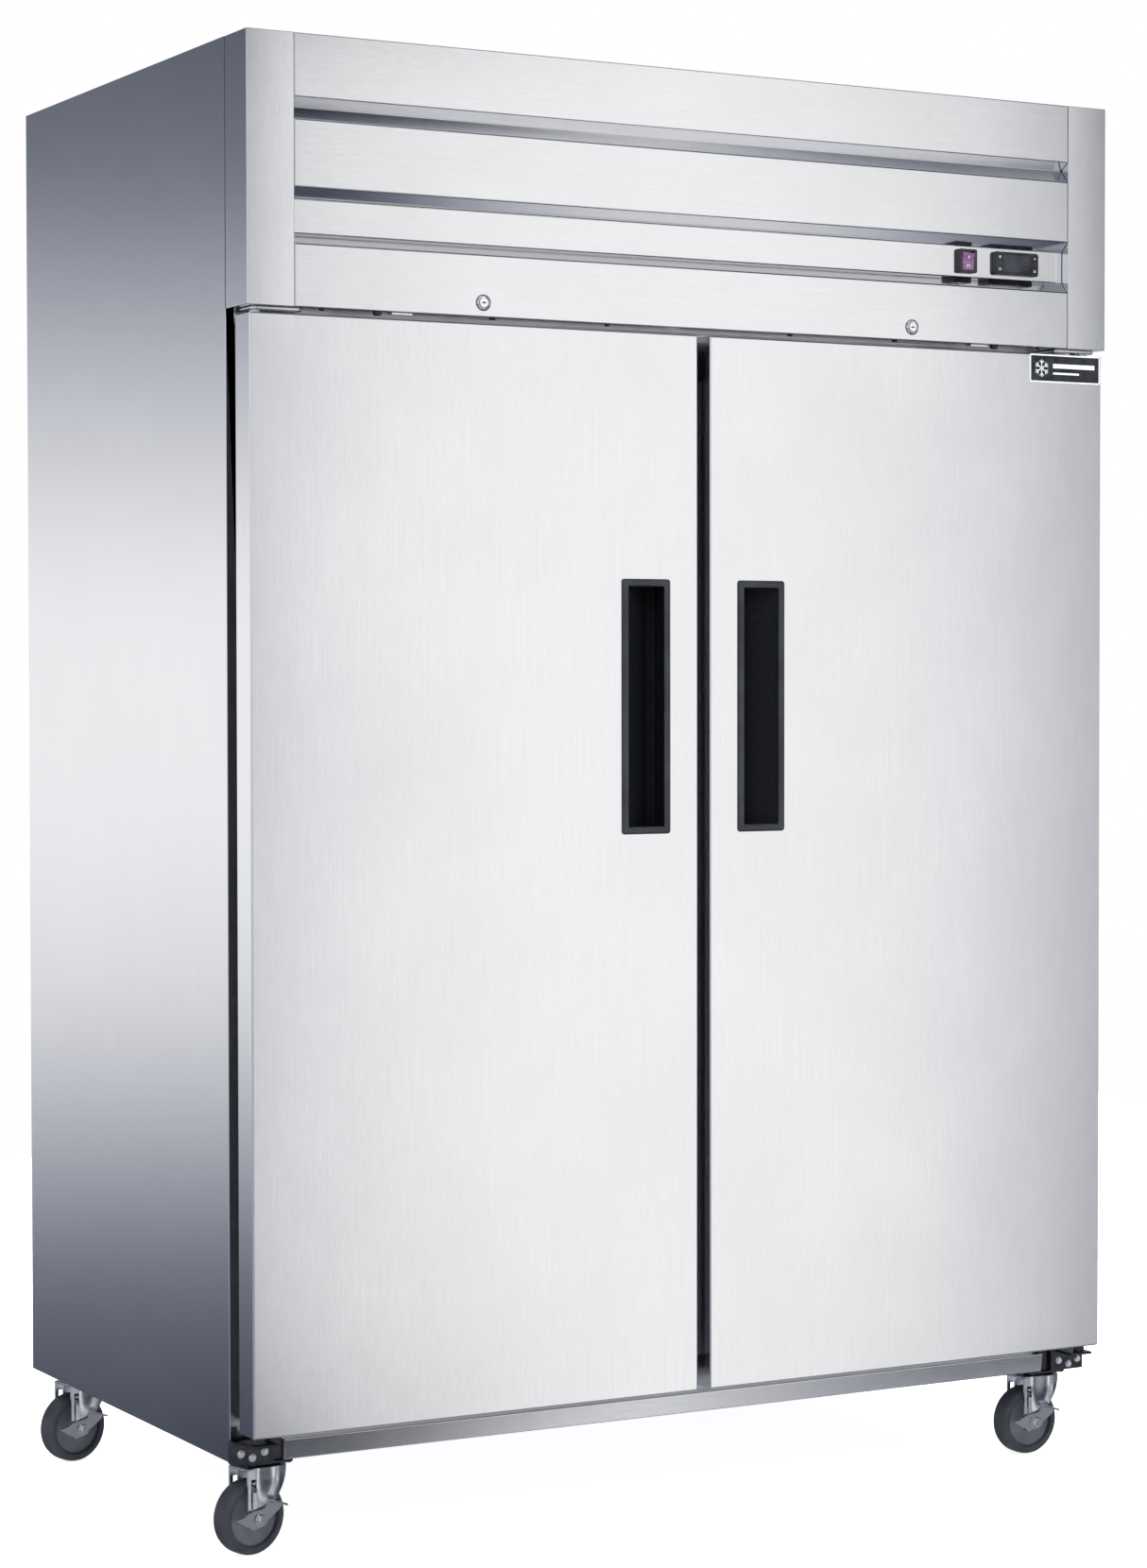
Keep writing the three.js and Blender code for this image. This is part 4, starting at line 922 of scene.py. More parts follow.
def make_lock(name):
    node = f"door_lock_{name}"
    pivot = Vector(JOINT[f"lock_{name}_turn"]["pos_m"])
    face = BOX["header_panel"][0].y
    at = facing("front", (pivot.x, face, pivot.z))
    bm = bmesh.new()
    lathe(bm, millimetres(LOCK_FACE), at, 40)
    cutter = bmesh.new()
    prism(cutter, millimetres(KEYHOLE), 8 * MM, at @ Matrix.Translation((0, 0, -4 * MM)))
    bm = carve(bm, cutter)
    keyway = bmesh.new()
    rod(keyway, 4.6 * MM, -1 * MM, 0.6 * MM, at)
    # a black washer just wider than the flange; its thin dark outline round the lock is painted shade for the
    # shadow line there
    rod(keyway, 11.2 * MM, 0.05 * MM, 0.8 * MM, at, 40, 0.2 * MM)
    piece(f"{node}_keyway", keyway, "moulded_black", f"lock_{name}")
    cam = millimetres([(-7, -6), (37, -6), (40, -3), (40, 3), (37, 6), (-7, 6)])
    prism(bm, fillet(cam, 2 * MM, closed=True), 3.4 * MM,
          facing("front", (pivot.x, BOX[node][1].y, pivot.z)), 0.3 * MM)
    piece(f"{node}_cylinder", bm, "chrome", f"lock_{name}", [node], 35)


HINGE_SCREWS = [(7.5, 15), (24, 8.5), (42, 15)]      # mm in from the cabinet's side and up from its underside


def make_hinges(name, side):
    node = f"top_hinge_{name}"
    low, high = BOX[node]
    pivot = Vector(JOINT[f"door_{name}_swing"]["pos_m"])
    thickness = 5 * MM
    bm = bmesh.new()
    at = facing("up", ((low.x + high.x) / 2, (low.y + high.y) / 2, high.z - thickness))
    slab(bm, high.x - low.x, high.y - low.y, thickness, at, 7 * MM, 1.2 * MM, 1.2 * MM)
    pin = Matrix.Translation((pivot.x, pivot.y, 0))
    rod(bm, 4 * MM, low.z, high.z - 1 * MM, pin)
    rod(bm, 8 * MM, high.z - thickness - 2.6 * MM, high.z - thickness + 0.5 * MM, pin, 24)
    piece(f"{node}_plate", bm, "zinc", "cabinet", [node])

    node = f"bottom_hinge_{name}"
    low, high = BOX[node]
    refine(node, "hinge_dark_and_plate_shade", 0.9 * MM)
    bm = bmesh.new()
    face = BOX["bottom_rail"][0].y
    for x, z in HINGE_SCREWS:
        head = facing("front", (side * (cad_side - x * MM), face, low.z + z * MM))
        rod(bm, 5.6 * MM, 0, 0.9 * MM, head, 24)
        hex_head(bm, head @ Matrix.Translation((0, 0, 0.9 * MM)), 8 * MM, 2.6 * MM)
    piece(f"{node}_screws", bm, "zinc", "cabinet")


def make_header_gap(name, side):
    """Screws, a rubber stop and a bright strike on the underside of the header."""
    header_low, header_high = BOX["header_panel"]
    z, y = header_low.z, header_low.y
    bm = bmesh.new()
    for x in (150, 330, 586):
        screw(bm, facing("down", (side * x * MM, y + 14 * MM, z)), 4 * MM, 2.2 * MM)
    piece(f"header_screws_{name}", bm, "hinge_dark_and_plate_shade", "cabinet")
    bm = bmesh.new()
    lathe(bm, millimetres([(6, -0.2), (6, 3), (5, 4.4), (3, 5), (0, 5)]),
          facing("down", (side * 0.505, y + 12 * MM, z)), 24)
    piece(f"door_stop_{name}", bm, "gasket", "cabinet")
    bm = bmesh.new()
    middle_x = side * 472.5 * MM
    half = 15.5 * MM
    block(bm, (middle_x - half, y + 2.5 * MM, z - 3.4 * MM), (middle_x + half, y + 4.3 * MM, z), 0.5 * MM)
    block(bm, (middle_x - half, y + 2.5 * MM, z - 1.8 * MM), (middle_x + half, y + 16 * MM, z), 0.5 * MM)
    piece(f"door_strike_{name}", bm, "chrome", "cabinet")


# ---------------------------------------------------------------- switch and controller
ROCKER_REST = 7            # degrees
ROCKER_OUTLINE = [(0, -13), (-11, -13), (-9.6, 0), (-11, 13), (0, 13), (5, 4), (5, -4)]


def make_switch():
    low, high = BOX["switch_bezel"]
    rocker_low, rocker_high = BOX["rocker_switch"]
    face = low.y
    strip = face + 7.7 * MM
    centre = middle("switch_bezel")
    bm = bmesh.new()
    slab(bm, high.x - low.x, high.z - low.z, strip - face, facing("front", (centre.x, strip, centre.z)),
         3 * MM, 1.4 * MM, 0.2 * MM)
    inner = Vector((3.5 * MM, 0, 3 * MM))
    body = bmesh.new()
    block(body, Vector((low.x, strip + 0.2 * MM, low.z)) + inner, high - inner, 1 * MM)
    pivot = Vector(JOINT["rocker_tilt"]["pos_m"])
    gap = 0.5 * MM
    well_low = Vector((rocker_low.x - gap, face - 6 * MM, centre.z - 14.5 * MM))
    well_high = Vector((rocker_high.x + gap, pivot.y + 10 * MM, centre.z + 14.5 * MM))
    halves = []
    for half in (bm, body):
        cutter = bmesh.new()
        block(cutter, well_low, well_high, 0.6 * MM)
        halves.append(carve(half, cutter))
    merge(*halves)
    piece("switch_bezel_moulding", halves[0], "moulded_black", "cabinet", ["switch_bezel"], 35)

    rest = Matrix.Translation(pivot) @ Matrix.Rotation(math.radians(ROCKER_REST), 4, "X")
    width = rocker_high.x - rocker_low.x
    bm = bmesh.new()
    outline = fillet(millimetres(ROCKER_OUTLINE), 1.6 * MM, closed=True)
    prism(bm, outline, width, rest @ facing("right", (-width / 2, 0, 0)), 0.8 * MM)
    piece("rocker_switch_lens", bm, "rocker_lens", "rocker", ["rocker_switch"], 35)
    bm = bmesh.new()
    block(bm, (-0.5 * MM, -10.55 * MM, 4.5 * MM), (0.5 * MM, -9.5 * MM, 9.5 * MM), 0.1 * MM, rest)
    ring = [(2.1, -0.6), (2.1, 0.15), (2.9, 0.15), (2.9, -0.6)]
    lathe(bm, millimetres(ring), rest @ facing("front", (0, -10.35 * MM, -7 * MM)), 24, closed=True)
    piece("rocker_marks", bm, "print_white", "rocker")


WINDOW = (48, 26)              # the controller's display window, in mm
DIGIT = (8.5, 15)              # its figures


def bar(bm, a, b, width, at, rise=0.12 * MM):
    """A thin printed bar from a to b in local XY."""
    a, b = Vector(a), Vector(b)
    along = (b - a).normalized()
    across = Vector((-along.y, along.x)) * (width / 2)
    sunk = 0.2 * MM
    prism(bm, [a - across, b - across, b + across, a + across], rise + sunk,
          at @ Matrix.Translation((0, 0, -sunk)))


def make_controller():
    low, high = BOX["controller"]
    face = low.y
    strip = face + 7.7 * MM
    centre = middle("controller")
    at = facing("front", (centre.x, strip, centre.z))
    width, height = high.x - low.x, high.z - low.z
    bm = bmesh.new()
    slab(bm, width, height, strip - face, at, 4 * MM, 1.8 * MM, 0.2 * MM)
    for vert in bm.verts:
        across = (vert.co.x - centre.x) / (width / 2)
        vert.co.z += 0.9 * MM * (1 - across ** 2) * math.copysign(1, vert.co.z - centre.z)
    cutter = bmesh.new()
    front = facing("front", (centre.x, face, centre.z))
    window_w, window_h = (value * MM for value in WINDOW)
    slab(cutter, window_w + 0.5 * MM, window_h + 0.5 * MM, 4 * MM,
         front @ Matrix.Translation((0, 0, -1 * MM)), 3 * MM)
    for key in ("key_light", "key_set", "key_up", "key_down"):
        key_low, key_high = BOX[key]
        clear = Vector((0.4 * MM, 4 * MM, 0.4 * MM))
        block(cutter, key_low - clear, key_high + clear, 0.8 * MM)
    bm = carve(bm, cutter)
    inner = Vector((4 * MM, 0, 3 * MM))
    block(bm, Vector((low.x, strip + 0.2 * MM, low.z)) + inner, high - inner, 1 * MM)
    piece("controller_case", bm, "gloss_black", "cabinet", ["controller"], 35)

    bm = bmesh.new()
    slab(bm, window_w, window_h, 0.9 * MM, front @ Matrix.Translation((0, 0, -1 * MM)), 3 * MM, 0.4 * MM)
    piece("controller_window", bm, "smoked_window", "cabinet")
    bm = bmesh.new()
    glass = front @ Matrix.Translation((0, 0, -0.08 * MM))
    for digit in (-1, 0, 1):
        x, (w, h) = digit * 13.5, DIGIT
        for u0, v0, u1, v1 in ((0, 1, 1, 1), (0, 0, 1, 0), (0, -1, 1, -1), (0, 0, 0, 1), (1, 0, 1, 1),
                               (0, -1, 0, 0),
                               (1, -1, 1, 0)):
            a = Vector((x + (u0 - 0.5) * w, v0 * h / 2))
            b = Vector((x + (u1 - 0.5) * w, v1 * h / 2))
            gap = (b - a).normalized() * 0.9
            bar(bm, (a + gap) * MM, (b - gap) * MM, 1.3 * MM, glass, 0.02 * MM)
    piece("controller_segments", bm, "unlit_segment", "cabinet")
    bm = bmesh.new()
    slab(bm, 3.4 * MM, 3.4 * MM, 0.5 * MM, front @ Matrix.Translation((-31.5 * MM, 0, -0.2 * MM)), 0.5 * MM)
    piece("controller_lamp", bm, "unlit_segment", "cabinet")


KEY_MARKS = {
    "key_up": [((-2, -1), (0, 1.2)), ((0, 1.2), (2, -1))],
    "key_down": [((-2, 1.2), (0, -1)), ((0, -1), (2, 1.2)), ((-2, -1.9), (2, -1.9))],
    "key_set": [((-1.9, -1.3), (1.9, -1.3)), ((-1.9, 1.3), (1.9, 1.3)), ((-1.9, -1.3), (-1.9, 1.3)),
                ((1.9, -1.3), (1.9, 1.3))],
    "key_light": [((2.2 * math.cos(a), 2.2 * math.sin(a)), (1.4 * math.cos(a), 1.4 * math.sin(a)))
                  for a in (math.pi / 4 * i for i in range(8))],
}


def make_keys():
    for key, marks in KEY_MARKS.items():
        low, high = BOX[key]
        centre = middle(key)
        bm = bmesh.new()
        slab(bm, high.x - low.x, high.z - low.z, high.y - low.y,
             facing("front", (centre.x, high.y, centre.z)),
             1.4 * MM, 0.6 * MM)
        piece(f"{key}_cap", bm, "moulded_black", key, [key])
        bm = bmesh.new()
        top = facing("front", (centre.x, low.y, centre.z))
        for a, b in marks:
            bar(bm, Vector(a) * MM, Vector(b) * MM, 0.5 * MM, top, 0.02 * MM)
        if key == "key_light":
            lathe(bm, millimetres([(0, -0.2), (0.9, -0.2), (0.9, 0.02), (0, 0.02)]), top, 16)
        piece(f"{key}_mark", bm, "print_white", key)


# ---------------------------------------------------------------- casters
PLATE_TOP = 126.7 * MM
WHEEL_HALF = [(13, 18.3), (14.6, 17.2), (15.6, 10), (18, 8.9), (34.5, 7.6), (37.5, 9), (39.4, 13.6),
              (40.2, 15.2)]
TREAD_HALF = [(40.2, 15.2), (41.4, 16), (44.6, 15.9), (47.4, 14.9), (49.6, 12.4), (50.7, 9), (51, 5)]
LEVER = [(-42, 4.5), (-22.5, -8), (-19.5, -7.2), (-13, -14), (1, -10.5), (13, -2.5), (30, 8), (35, 12),
         (36, 17.5),
         (14.5, 25), (10, 16), (4, 14), (-6, 13), (-18.5, 11), (-29, 6)]
CROWN_RADIUS = 29 * MM


def fork_leg(axle, side):
    """A pressed leg: flat down to the axle, with a skirt that swells up to the round crown."""
    bm = bmesh.new()
    bottom, top = axle.z - 12 * MM, 119.4 * MM
    back = axle.x - 17 * MM
    rows, columns = 26, 16
    layers = []
    for thickness in (0.0, 3.0 * MM):
        grid = []
        for row in range(rows + 1):
            z = bottom + (top - bottom) * row / rows
            if z < axle.z:
                reach = math.sqrt(max((12 * MM) ** 2 - (axle.z - z) ** 2, (1.5 * MM) ** 2))
                left, right = axle.x - reach, axle.x + reach
            else:
                up = (z - axle.z) / (top - axle.z)
                left = axle.x - 12 * MM - 5 * MM * min(up * 6, 1)
                right = axle.x + 12 * MM + 32 * MM * math.sin(up * math.pi / 2) ** 1.15
            line = []
            for column in range(columns + 1):
                x = left + (right - left) * column / columns
                swell = 7 * MM * math.cos(min(abs(x) / (30 * MM), 1) * math.pi / 2) ** 1.5
                rise = min(max((z - 48 * MM) / (60 * MM), 0), 1)
                y = 22 * MM + swell * rise * rise * (3 - 2 * rise) - thickness
                line.append(bm.verts.new((x, side * y, z)))
            grid.append(line)
        layers.append(grid)
    outer, inner = layers
    for grid in layers:
        for a, b in zip(grid, grid[1:]):
            for i in range(columns):
                bm.faces.new((a[i], a[i + 1], b[i + 1], b[i]))
    rim = border(outer)
    back_rim = border(inner)
    for i in range(len(rim)):
        j = (i + 1) % len(rim)
        bm.faces.new((rim[i], rim[j], back_rim[j], back_rim[i]))
    bmesh.ops.recalc_face_normals(bm, faces=bm.faces)
    return bm, back


def make_fork(corner, place, axle):
    bm = bmesh.new()
    outside = 22 * MM
    for side in (-1, 1):
        leg, back = fork_leg(axle, side)
        cutter = bmesh.new()
        slot_x = back + 9.5 * MM
        slot_low = Vector((slot_x - 4.5 * MM, side * 25 * MM - 8 * MM, 74 * MM))
        block(cutter, slot_low, slot_low + Vector((9 * MM, 16 * MM, 31 * MM)), 1 * MM)
        merge(bm, carve(leg, cutter))
    crown = [(back, -outside), (-19 * MM, -outside)] + circle(CROWN_RADIUS, steps=18,
                                                              start=math.radians(-131),
                                                            sweep=math.radians(262))
    crown += [(-19 * MM, outside), (back, outside)]
    plate = bmesh.new()
    prism(plate, crown, 4 * MM, Matrix.Translation((0, 0, 116 * MM)), 1.2 * MM)
    hole = bmesh.new()
    rod(hole, 6.6 * MM, 100 * MM, 130 * MM)
    merge(bm, carve(plate, hole))
    # brake spring: a leaf that stands in the slot and hooks over at its top
    leaf = fillet(millimetres([(-23, 58), (-24.6, 66), (-24.6, 90), (-17.5, 95)]), 3 * MM)
    outline = [Vector(p) for p in leaf] + [Vector(p) + Vector((1.3 * MM, -0.4 * MM)) for p in reversed(leaf)]
    prism(bm, outline, 6.4 * MM, facing("right", (back + 6.3 * MM, 0, 0)), 0.3 * MM)
    block(bm, (back + 6 * MM, -24.9 * MM, 98.5 * MM), (back + 13 * MM, -20 * MM, 101 * MM), 0.6 * MM)
    # axle, serrated washer, bolt head and nut
    along = Matrix.Translation((axle.x, 0, axle.z)) @ facing("front", (0, 0, 0))
    rod(bm, 5 * MM, -27 * MM, 30 * MM, along)
    teeth = [(r * MM * math.cos(a), r * MM * math.sin(a)) for i in range(36)
             for r, a in ((10, math.pi * i / 18), (9.2, math.pi * (i + 0.5) / 18))]
    prism(bm, teeth, 1.6 * MM, along @ Matrix.Translation((0, 0, 27.3 * MM)), 0.3 * MM)
    lathe(bm, millimetres([(8.0, 28.6), (8.4, 29.4), (7.9, 30.6), (7.4, 33.2), (6.6, 34.2), (4.6, 34.4),
                           (4.2, 33.2),
                           (0, 33.2)]), along, 32)
    hex_head(bm, along @ Matrix.Translation((0, 0, -29 * MM)), 14 * MM, 7 * MM)
    bm.transform(place)
    node = f"caster_fork_{corner}"
    piece(f"{node}_pressing", bm, "zinc", f"fork_{corner}", [node], 32)


def make_caster(corner):
    swivel = JOINT[f"caster_swivel_{corner}"]["pos_m"]
    roll = JOINT[f"caster_roll_{corner}"]
    turn = math.atan2(-roll["axis"][0], roll["axis"][1])
    trail = (Vector(roll["pos_m"]).to_2d() - Vector(swivel).to_2d()).length
    stand = Matrix.Translation((swivel[0], swivel[1], 0))
    place = stand @ Matrix.Rotation(turn, 4, "Z")
    axle = Vector((-trail, 0, roll["pos_m"][2]))

    bm = bmesh.new()
    plate_bottom = PLATE_TOP - 4 * MM
    slab(bm, 66 * MM, 52 * MM, 4 * MM, Matrix.Translation((0, 0, plate_bottom)), 8 * MM, 0.8 * MM, 0.8 * MM)
    for u in (-1, 1):
        for v in (-1, 1):
            screw(bm, facing("down", (u * 26 * MM, v * 19 * MM, plate_bottom)), 5 * MM, 1.7 * MM, drive=False)
    race = [(0, 121), (19, 121), (20.5, 120.5), (22.4, 120.6), (23, 121.4), (22.4, 122.2), (23, 122.9),
            (0, 122.9)]
    lathe(bm, millimetres(race), HERE, 40)
    kingpin = [(0, 110.6), (8, 110.8), (10, 112), (10, 115.2), (6, 115.2), (6, 123), (0, 123)]
    lathe(bm, millimetres(kingpin), HERE, 24)
    bm.transform(stand)
    node = f"caster_plate_{corner}"
    # the plate takes the dark hinge steel as painted shade for the shadow under the bottom hinge
    piece(f"{node}_pressing", bm, "hinge_dark_and_plate_shade", "cabinet", [node], 35)

    make_fork(corner, place, axle)

    hub = place @ Matrix.Translation(axle) @ facing("front", (0, 0, 0))
    for part, look, half in (("core", "wheel_core", WHEEL_HALF), ("tyre", "tread", TREAD_HALF)):
        profile = half + [(r, -y) for r, y in reversed(half)]
        bm = bmesh.new()
        inner = 5.8 if part == "core" else 38
        ends = [(inner, half[0][1])] if part == "core" else [(inner, 12)]
        profile = ends + profile + [(r, -y) for r, y in ends]
        lathe(bm, millimetres(profile), hub, 72, closed=True)
        replaced = [f"caster_wheel_{corner}"] if part == "tyre" else []
        piece(f"caster_wheel_{corner}_{part}", bm, look, f"wheel_{corner}", replaced, 38)

    bm = bmesh.new()
    outline = fillet(millimetres(LEVER), 2.2 * MM, 3, closed=True)
    lever_y = -25.5 * MM
    lift = Matrix.Translation(axle)
    prism(bm, outline, 3 * MM, lift @ facing("front", (0, lever_y + 1.5 * MM, 0)), 0.5 * MM)
    tread = lift @ Matrix.Translation((25.5 * MM, lever_y, 20.5 * MM)) @ Matrix.Rotation(math.radians(19),
                                                                                         4, "Y")
    block(bm, (-11.5 * MM, -15 * MM, -1.5 * MM), (11.5 * MM, 1 * MM, 1.5 * MM), 1 * MM, tread)
    cutter = bmesh.new()
    rod(cutter, 5.8 * MM, 15 * MM, 35 * MM, lift @ facing("front", (0, 0, 0)))
    bm = carve(bm, cutter)
    bm.transform(place)
    node = f"caster_brake_{corner}"
    piece(f"{node}_lever", bm, "steel_dull", f"brake_{corner}", [node], 35)


# ---------------------------------------------------------------- interior
def sheet(bm, low, high):
    """A thin plate between two corners, for fins and slats."""
    outline = [(low[0], low[1]), (high[0], low[1]), (high[0], high[1]), (low[0], high[1])]
    prism(bm, outline, high[2] - low[2], Matrix.Translation((0, 0, low[2])))


def make_shelf(node):
    low, high = BOX[node]
    bm = bmesh.new()
    bar_radius, wire_radius = 3 * MM, 1.75 * MM
    z = low.z + bar_radius
    corners = [(low.x, low.y), (high.x, low.y), (high.x, high.y), (low.x, high.y)]
    inward = [(1, 1), (-1, 1), (-1, -1), (1, -1)]
    ring = [Vector((x + u * bar_radius, y + v * bar_radius, z)) for (x, y), (u, v) in zip(corners, inward)]
    tube(bm, fillet(ring, 16 * MM, 6, closed=True), bar_radius, 12, closed=True)
    for share in (0.25, 0.5, 0.75):
        y = low.y + (high.y - low.y) * share
        tube(bm, [(low.x + bar_radius, y, z), (high.x - bar_radius, y, z)], 2.5 * MM, 10)
    count = 24
    top = z + bar_radius + wire_radius - 0.4 * MM
    for i in range(count):
        x = low.x + (high.x - low.x) * (i + 0.7) / (count + 0.4)
        line = [(x, low.y + 2 * MM, z), (x, low.y + 3 * MM, top), (x, high.y - 3 * MM, top),
                (x, high.y - 2 * MM, z)]
        tube(bm, fillet(line, 3 * MM, 3), wire_radius, 8)
    piece(f"{node}_wires", bm, "shelf_epoxy", "cabinet", [node], 50)


STANDARD_WIDTH = 16 * MM
STANDARD_DEPTH = 3 * MM
STANDARD_PITCH = 25 * MM


def make_standard(name, direction, place, height):
    """A slotted shelf standard: two rails with rungs between them."""
    at = facing(direction, place)
    bm = bmesh.new()
    half = STANDARD_WIDTH / 2
    for side in (-1, 1):
        rail = sorted((side * half, side * (half - 4 * MM)))
        block(bm, (rail[0], 0, 0), (rail[1], height, STANDARD_DEPTH), 0.5 * MM, at)
    for i in range(int(height / STANDARD_PITCH) + 1):
        y = i * STANDARD_PITCH
        block(bm, (-half + 3 * MM, y, 0.2 * MM), (half - 3 * MM, y + 9 * MM, 2 * MM), 0.3 * MM, at)
    piece(f"shelf_standard_{name}", bm, "liner_steel", "cabinet")


LAMP_X, LAMP_Y = 0.338, -0.2        # middle of the right-hand lamp


def make_interior():
    liner = BOX["cabinet_floor"][1].z
    ceiling = BOX["cabinet_ceiling"][0].z
    inner_x, inner_rear = BOX["right_side_wall"][0].x, BOX["rear_wall"][0].y
    mullion_back = BOX["center_mullion"][1].y
    bottom = liner + 60 * MM
    height = ceiling - liner - 200 * MM
    shelves = [node for node in BOX if node.startswith("shelf_")]
    for node in shelves:
        make_shelf(node)
    depths = (-0.21, 0.23)               # Y of the standards on the side walls
    rear_x, mullion_x = 58 * MM, 37 * MM   # X of the clips on the rear wall and on the mullion
    shelf_front = -0.268
    clip_half = 6 * MM
    clips = bmesh.new()
    for name, side in SIDES.items():
        towards = "left" if side > 0 else "right"
        for i, y in enumerate(depths):
            make_standard(f"{name}_{i}", towards, (side * inner_x, y, bottom), height)
        make_standard(f"{name}_rear", "front", (side * 58 * MM, inner_rear, bottom), height)
        make_standard(f"{name}_mullion", "back", (side * 30 * MM, mullion_back, bottom), height)
        for node in shelves:
            if not node.startswith(f"shelf_{name}"):
                continue
            z = BOX[node][0].z
            for y in depths:
                reach = sorted((side * (inner_x - STANDARD_DEPTH), side * (inner_x - 24 * MM)))
                block(clips, (reach[0], y - clip_half, z - 9 * MM),
                      (reach[1], y + clip_half, z - 0.2 * MM), 2 * MM)
            for x, y0, y1 in ((rear_x, inner_rear - 64 * MM, inner_rear - 3 * MM),
                              (mullion_x, mullion_back + 3 * MM, shelf_front)):
                block(clips, (side * x - clip_half, y0, z - 9 * MM),
                      (side * x + clip_half, y1, z - 0.2 * MM), 2 * MM)
            reach = sorted((side * 31 * MM, side * 62 * MM))
            block(clips, (reach[0], shelf_front - 16 * MM, z - 7 * MM),
                  (reach[1], shelf_front - 4 * MM, z - 0.2 * MM), 2 * MM)
    piece("shelf_clips", clips, "zinc", "cabinet")
    for name, side in SIDES.items():
        make_lamp(name, (side * LAMP_X, LAMP_Y, ceiling))
    refine("cord_gland", "moulded_black", 0.6 * MM)


def make_lamp(name, place):
    at = facing("down", place)
    bm = bmesh.new()
    panel(bm, 0.3, 0.05, slab_profile(22 * MM, 14 * MM, 1 * MM, 6), at, 12 * MM)
    piece(f"lamp_cover_{name}", bm, "lamp_lens", "cabinet")
    bm = bmesh.new()
    for side in (-1, 1):
        slab(bm, 16 * MM, 54 * MM, 24 * MM, at @ Matrix.Translation((side * 0.154, 0, 0)), 4 * MM, 4 * MM)
    piece(f"lamp_ends_{name}", bm, "moulded_black", "cabinet")


# ---------------------------------------------------------------- fans, coils and guards
def fan_blade(bm, at, inner, outer, chord, pitch, thickness):
    """A twisted, cambered blade along local X of a fan that turns about Z."""
    rows, columns = 8, 8
    layers = []
    for offset in (thickness / 2, -thickness / 2):
        grid = []
        for row in range(rows + 1):
            share = row / rows
            radius = inner + (outer - inner) * share
            angle = math.radians(pitch * (1 - 0.4 * share))
            width = chord * (0.7 + 0.5 * math.sin(share * math.pi * 0.62))
            line = []
            for column in range(columns + 1):
                u = column / columns - 0.5
                camber = 0.1 * width * (1 - 4 * u * u)
                across = u * width
                lift = across * math.sin(angle) + camber + offset
                sweep = across * math.cos(angle) / radius
                round_off = 0.06 * outer * share ** 6 * (2 * u) ** 2
                place = Vector(((radius - round_off) * math.cos(sweep),
                                (radius - round_off) * math.sin(sweep), lift))
                line.append(bm.verts.new(at @ place))
            grid.append(line)
        layers.append(grid)
    loops = []
    for grid in layers:
        for a, b in zip(grid, grid[1:]):
            for i in range(columns):
                bm.faces.new((a[i], a[i + 1], b[i + 1], b[i]))
        loops.append(border(grid))
    for i in range(len(loops[0])):
        j = (i + 1) % len(loops[0])
        bm.faces.new((loops[0][i], loops[0][j], loops[1][j], loops[1][i]))


def make_fan(node, at, radius, hub_radius, hub_height, blades, look):
    bm = bmesh.new()
    half = hub_height / 2
    cap = [(0, -half), (hub_radius * 0.9, -half), (hub_radius, -half + 2 * MM), (hub_radius, half - 6 * MM),
           (hub_radius * 0.8, half - 1 * MM), (hub_radius * 0.3, half), (hub_radius * 0.3, half - 3 * MM),
           (0, half - 3 * MM)]
    lathe(bm, cap, at, 32)
    for i in range(blades):
        turn = at @ Matrix.Rotation(2 * math.pi * i / blades, 4, "Z")
        fan_blade(bm, turn, hub_radius * 0.94, radius, radius * 0.8, 30, 1.8 * MM)
    piece(f"{node}_wheel", bm, look, BODY[node], [node], 40)


def make_guard(name, at, radius, rings, look):
    """A round wire guard: rings on four crossed wires, and a motor plate in the middle."""
    bm = bmesh.new()
    wire = 1.3 * MM
    for i in range(rings):
        ring_radius = radius * (i + 2) / (rings + 1)
        tube(bm, [at @ Vector((x, y, 0)) for x, y in circle(ring_radius, steps=48)], wire, 8, closed=True)
    for i in range(6):
        turn = at @ Matrix.Rotation(math.pi * i / 6, 4, "Z")
        tube(bm, [turn @ Vector((side * radius, 0, 2 * wire)) for side in (-1, 1)], wire, 8)
    rod(bm, radius * 0.25, 2 * wire, 3.5 * wire, at, 32)
    piece(name, bm, look, "cabinet")


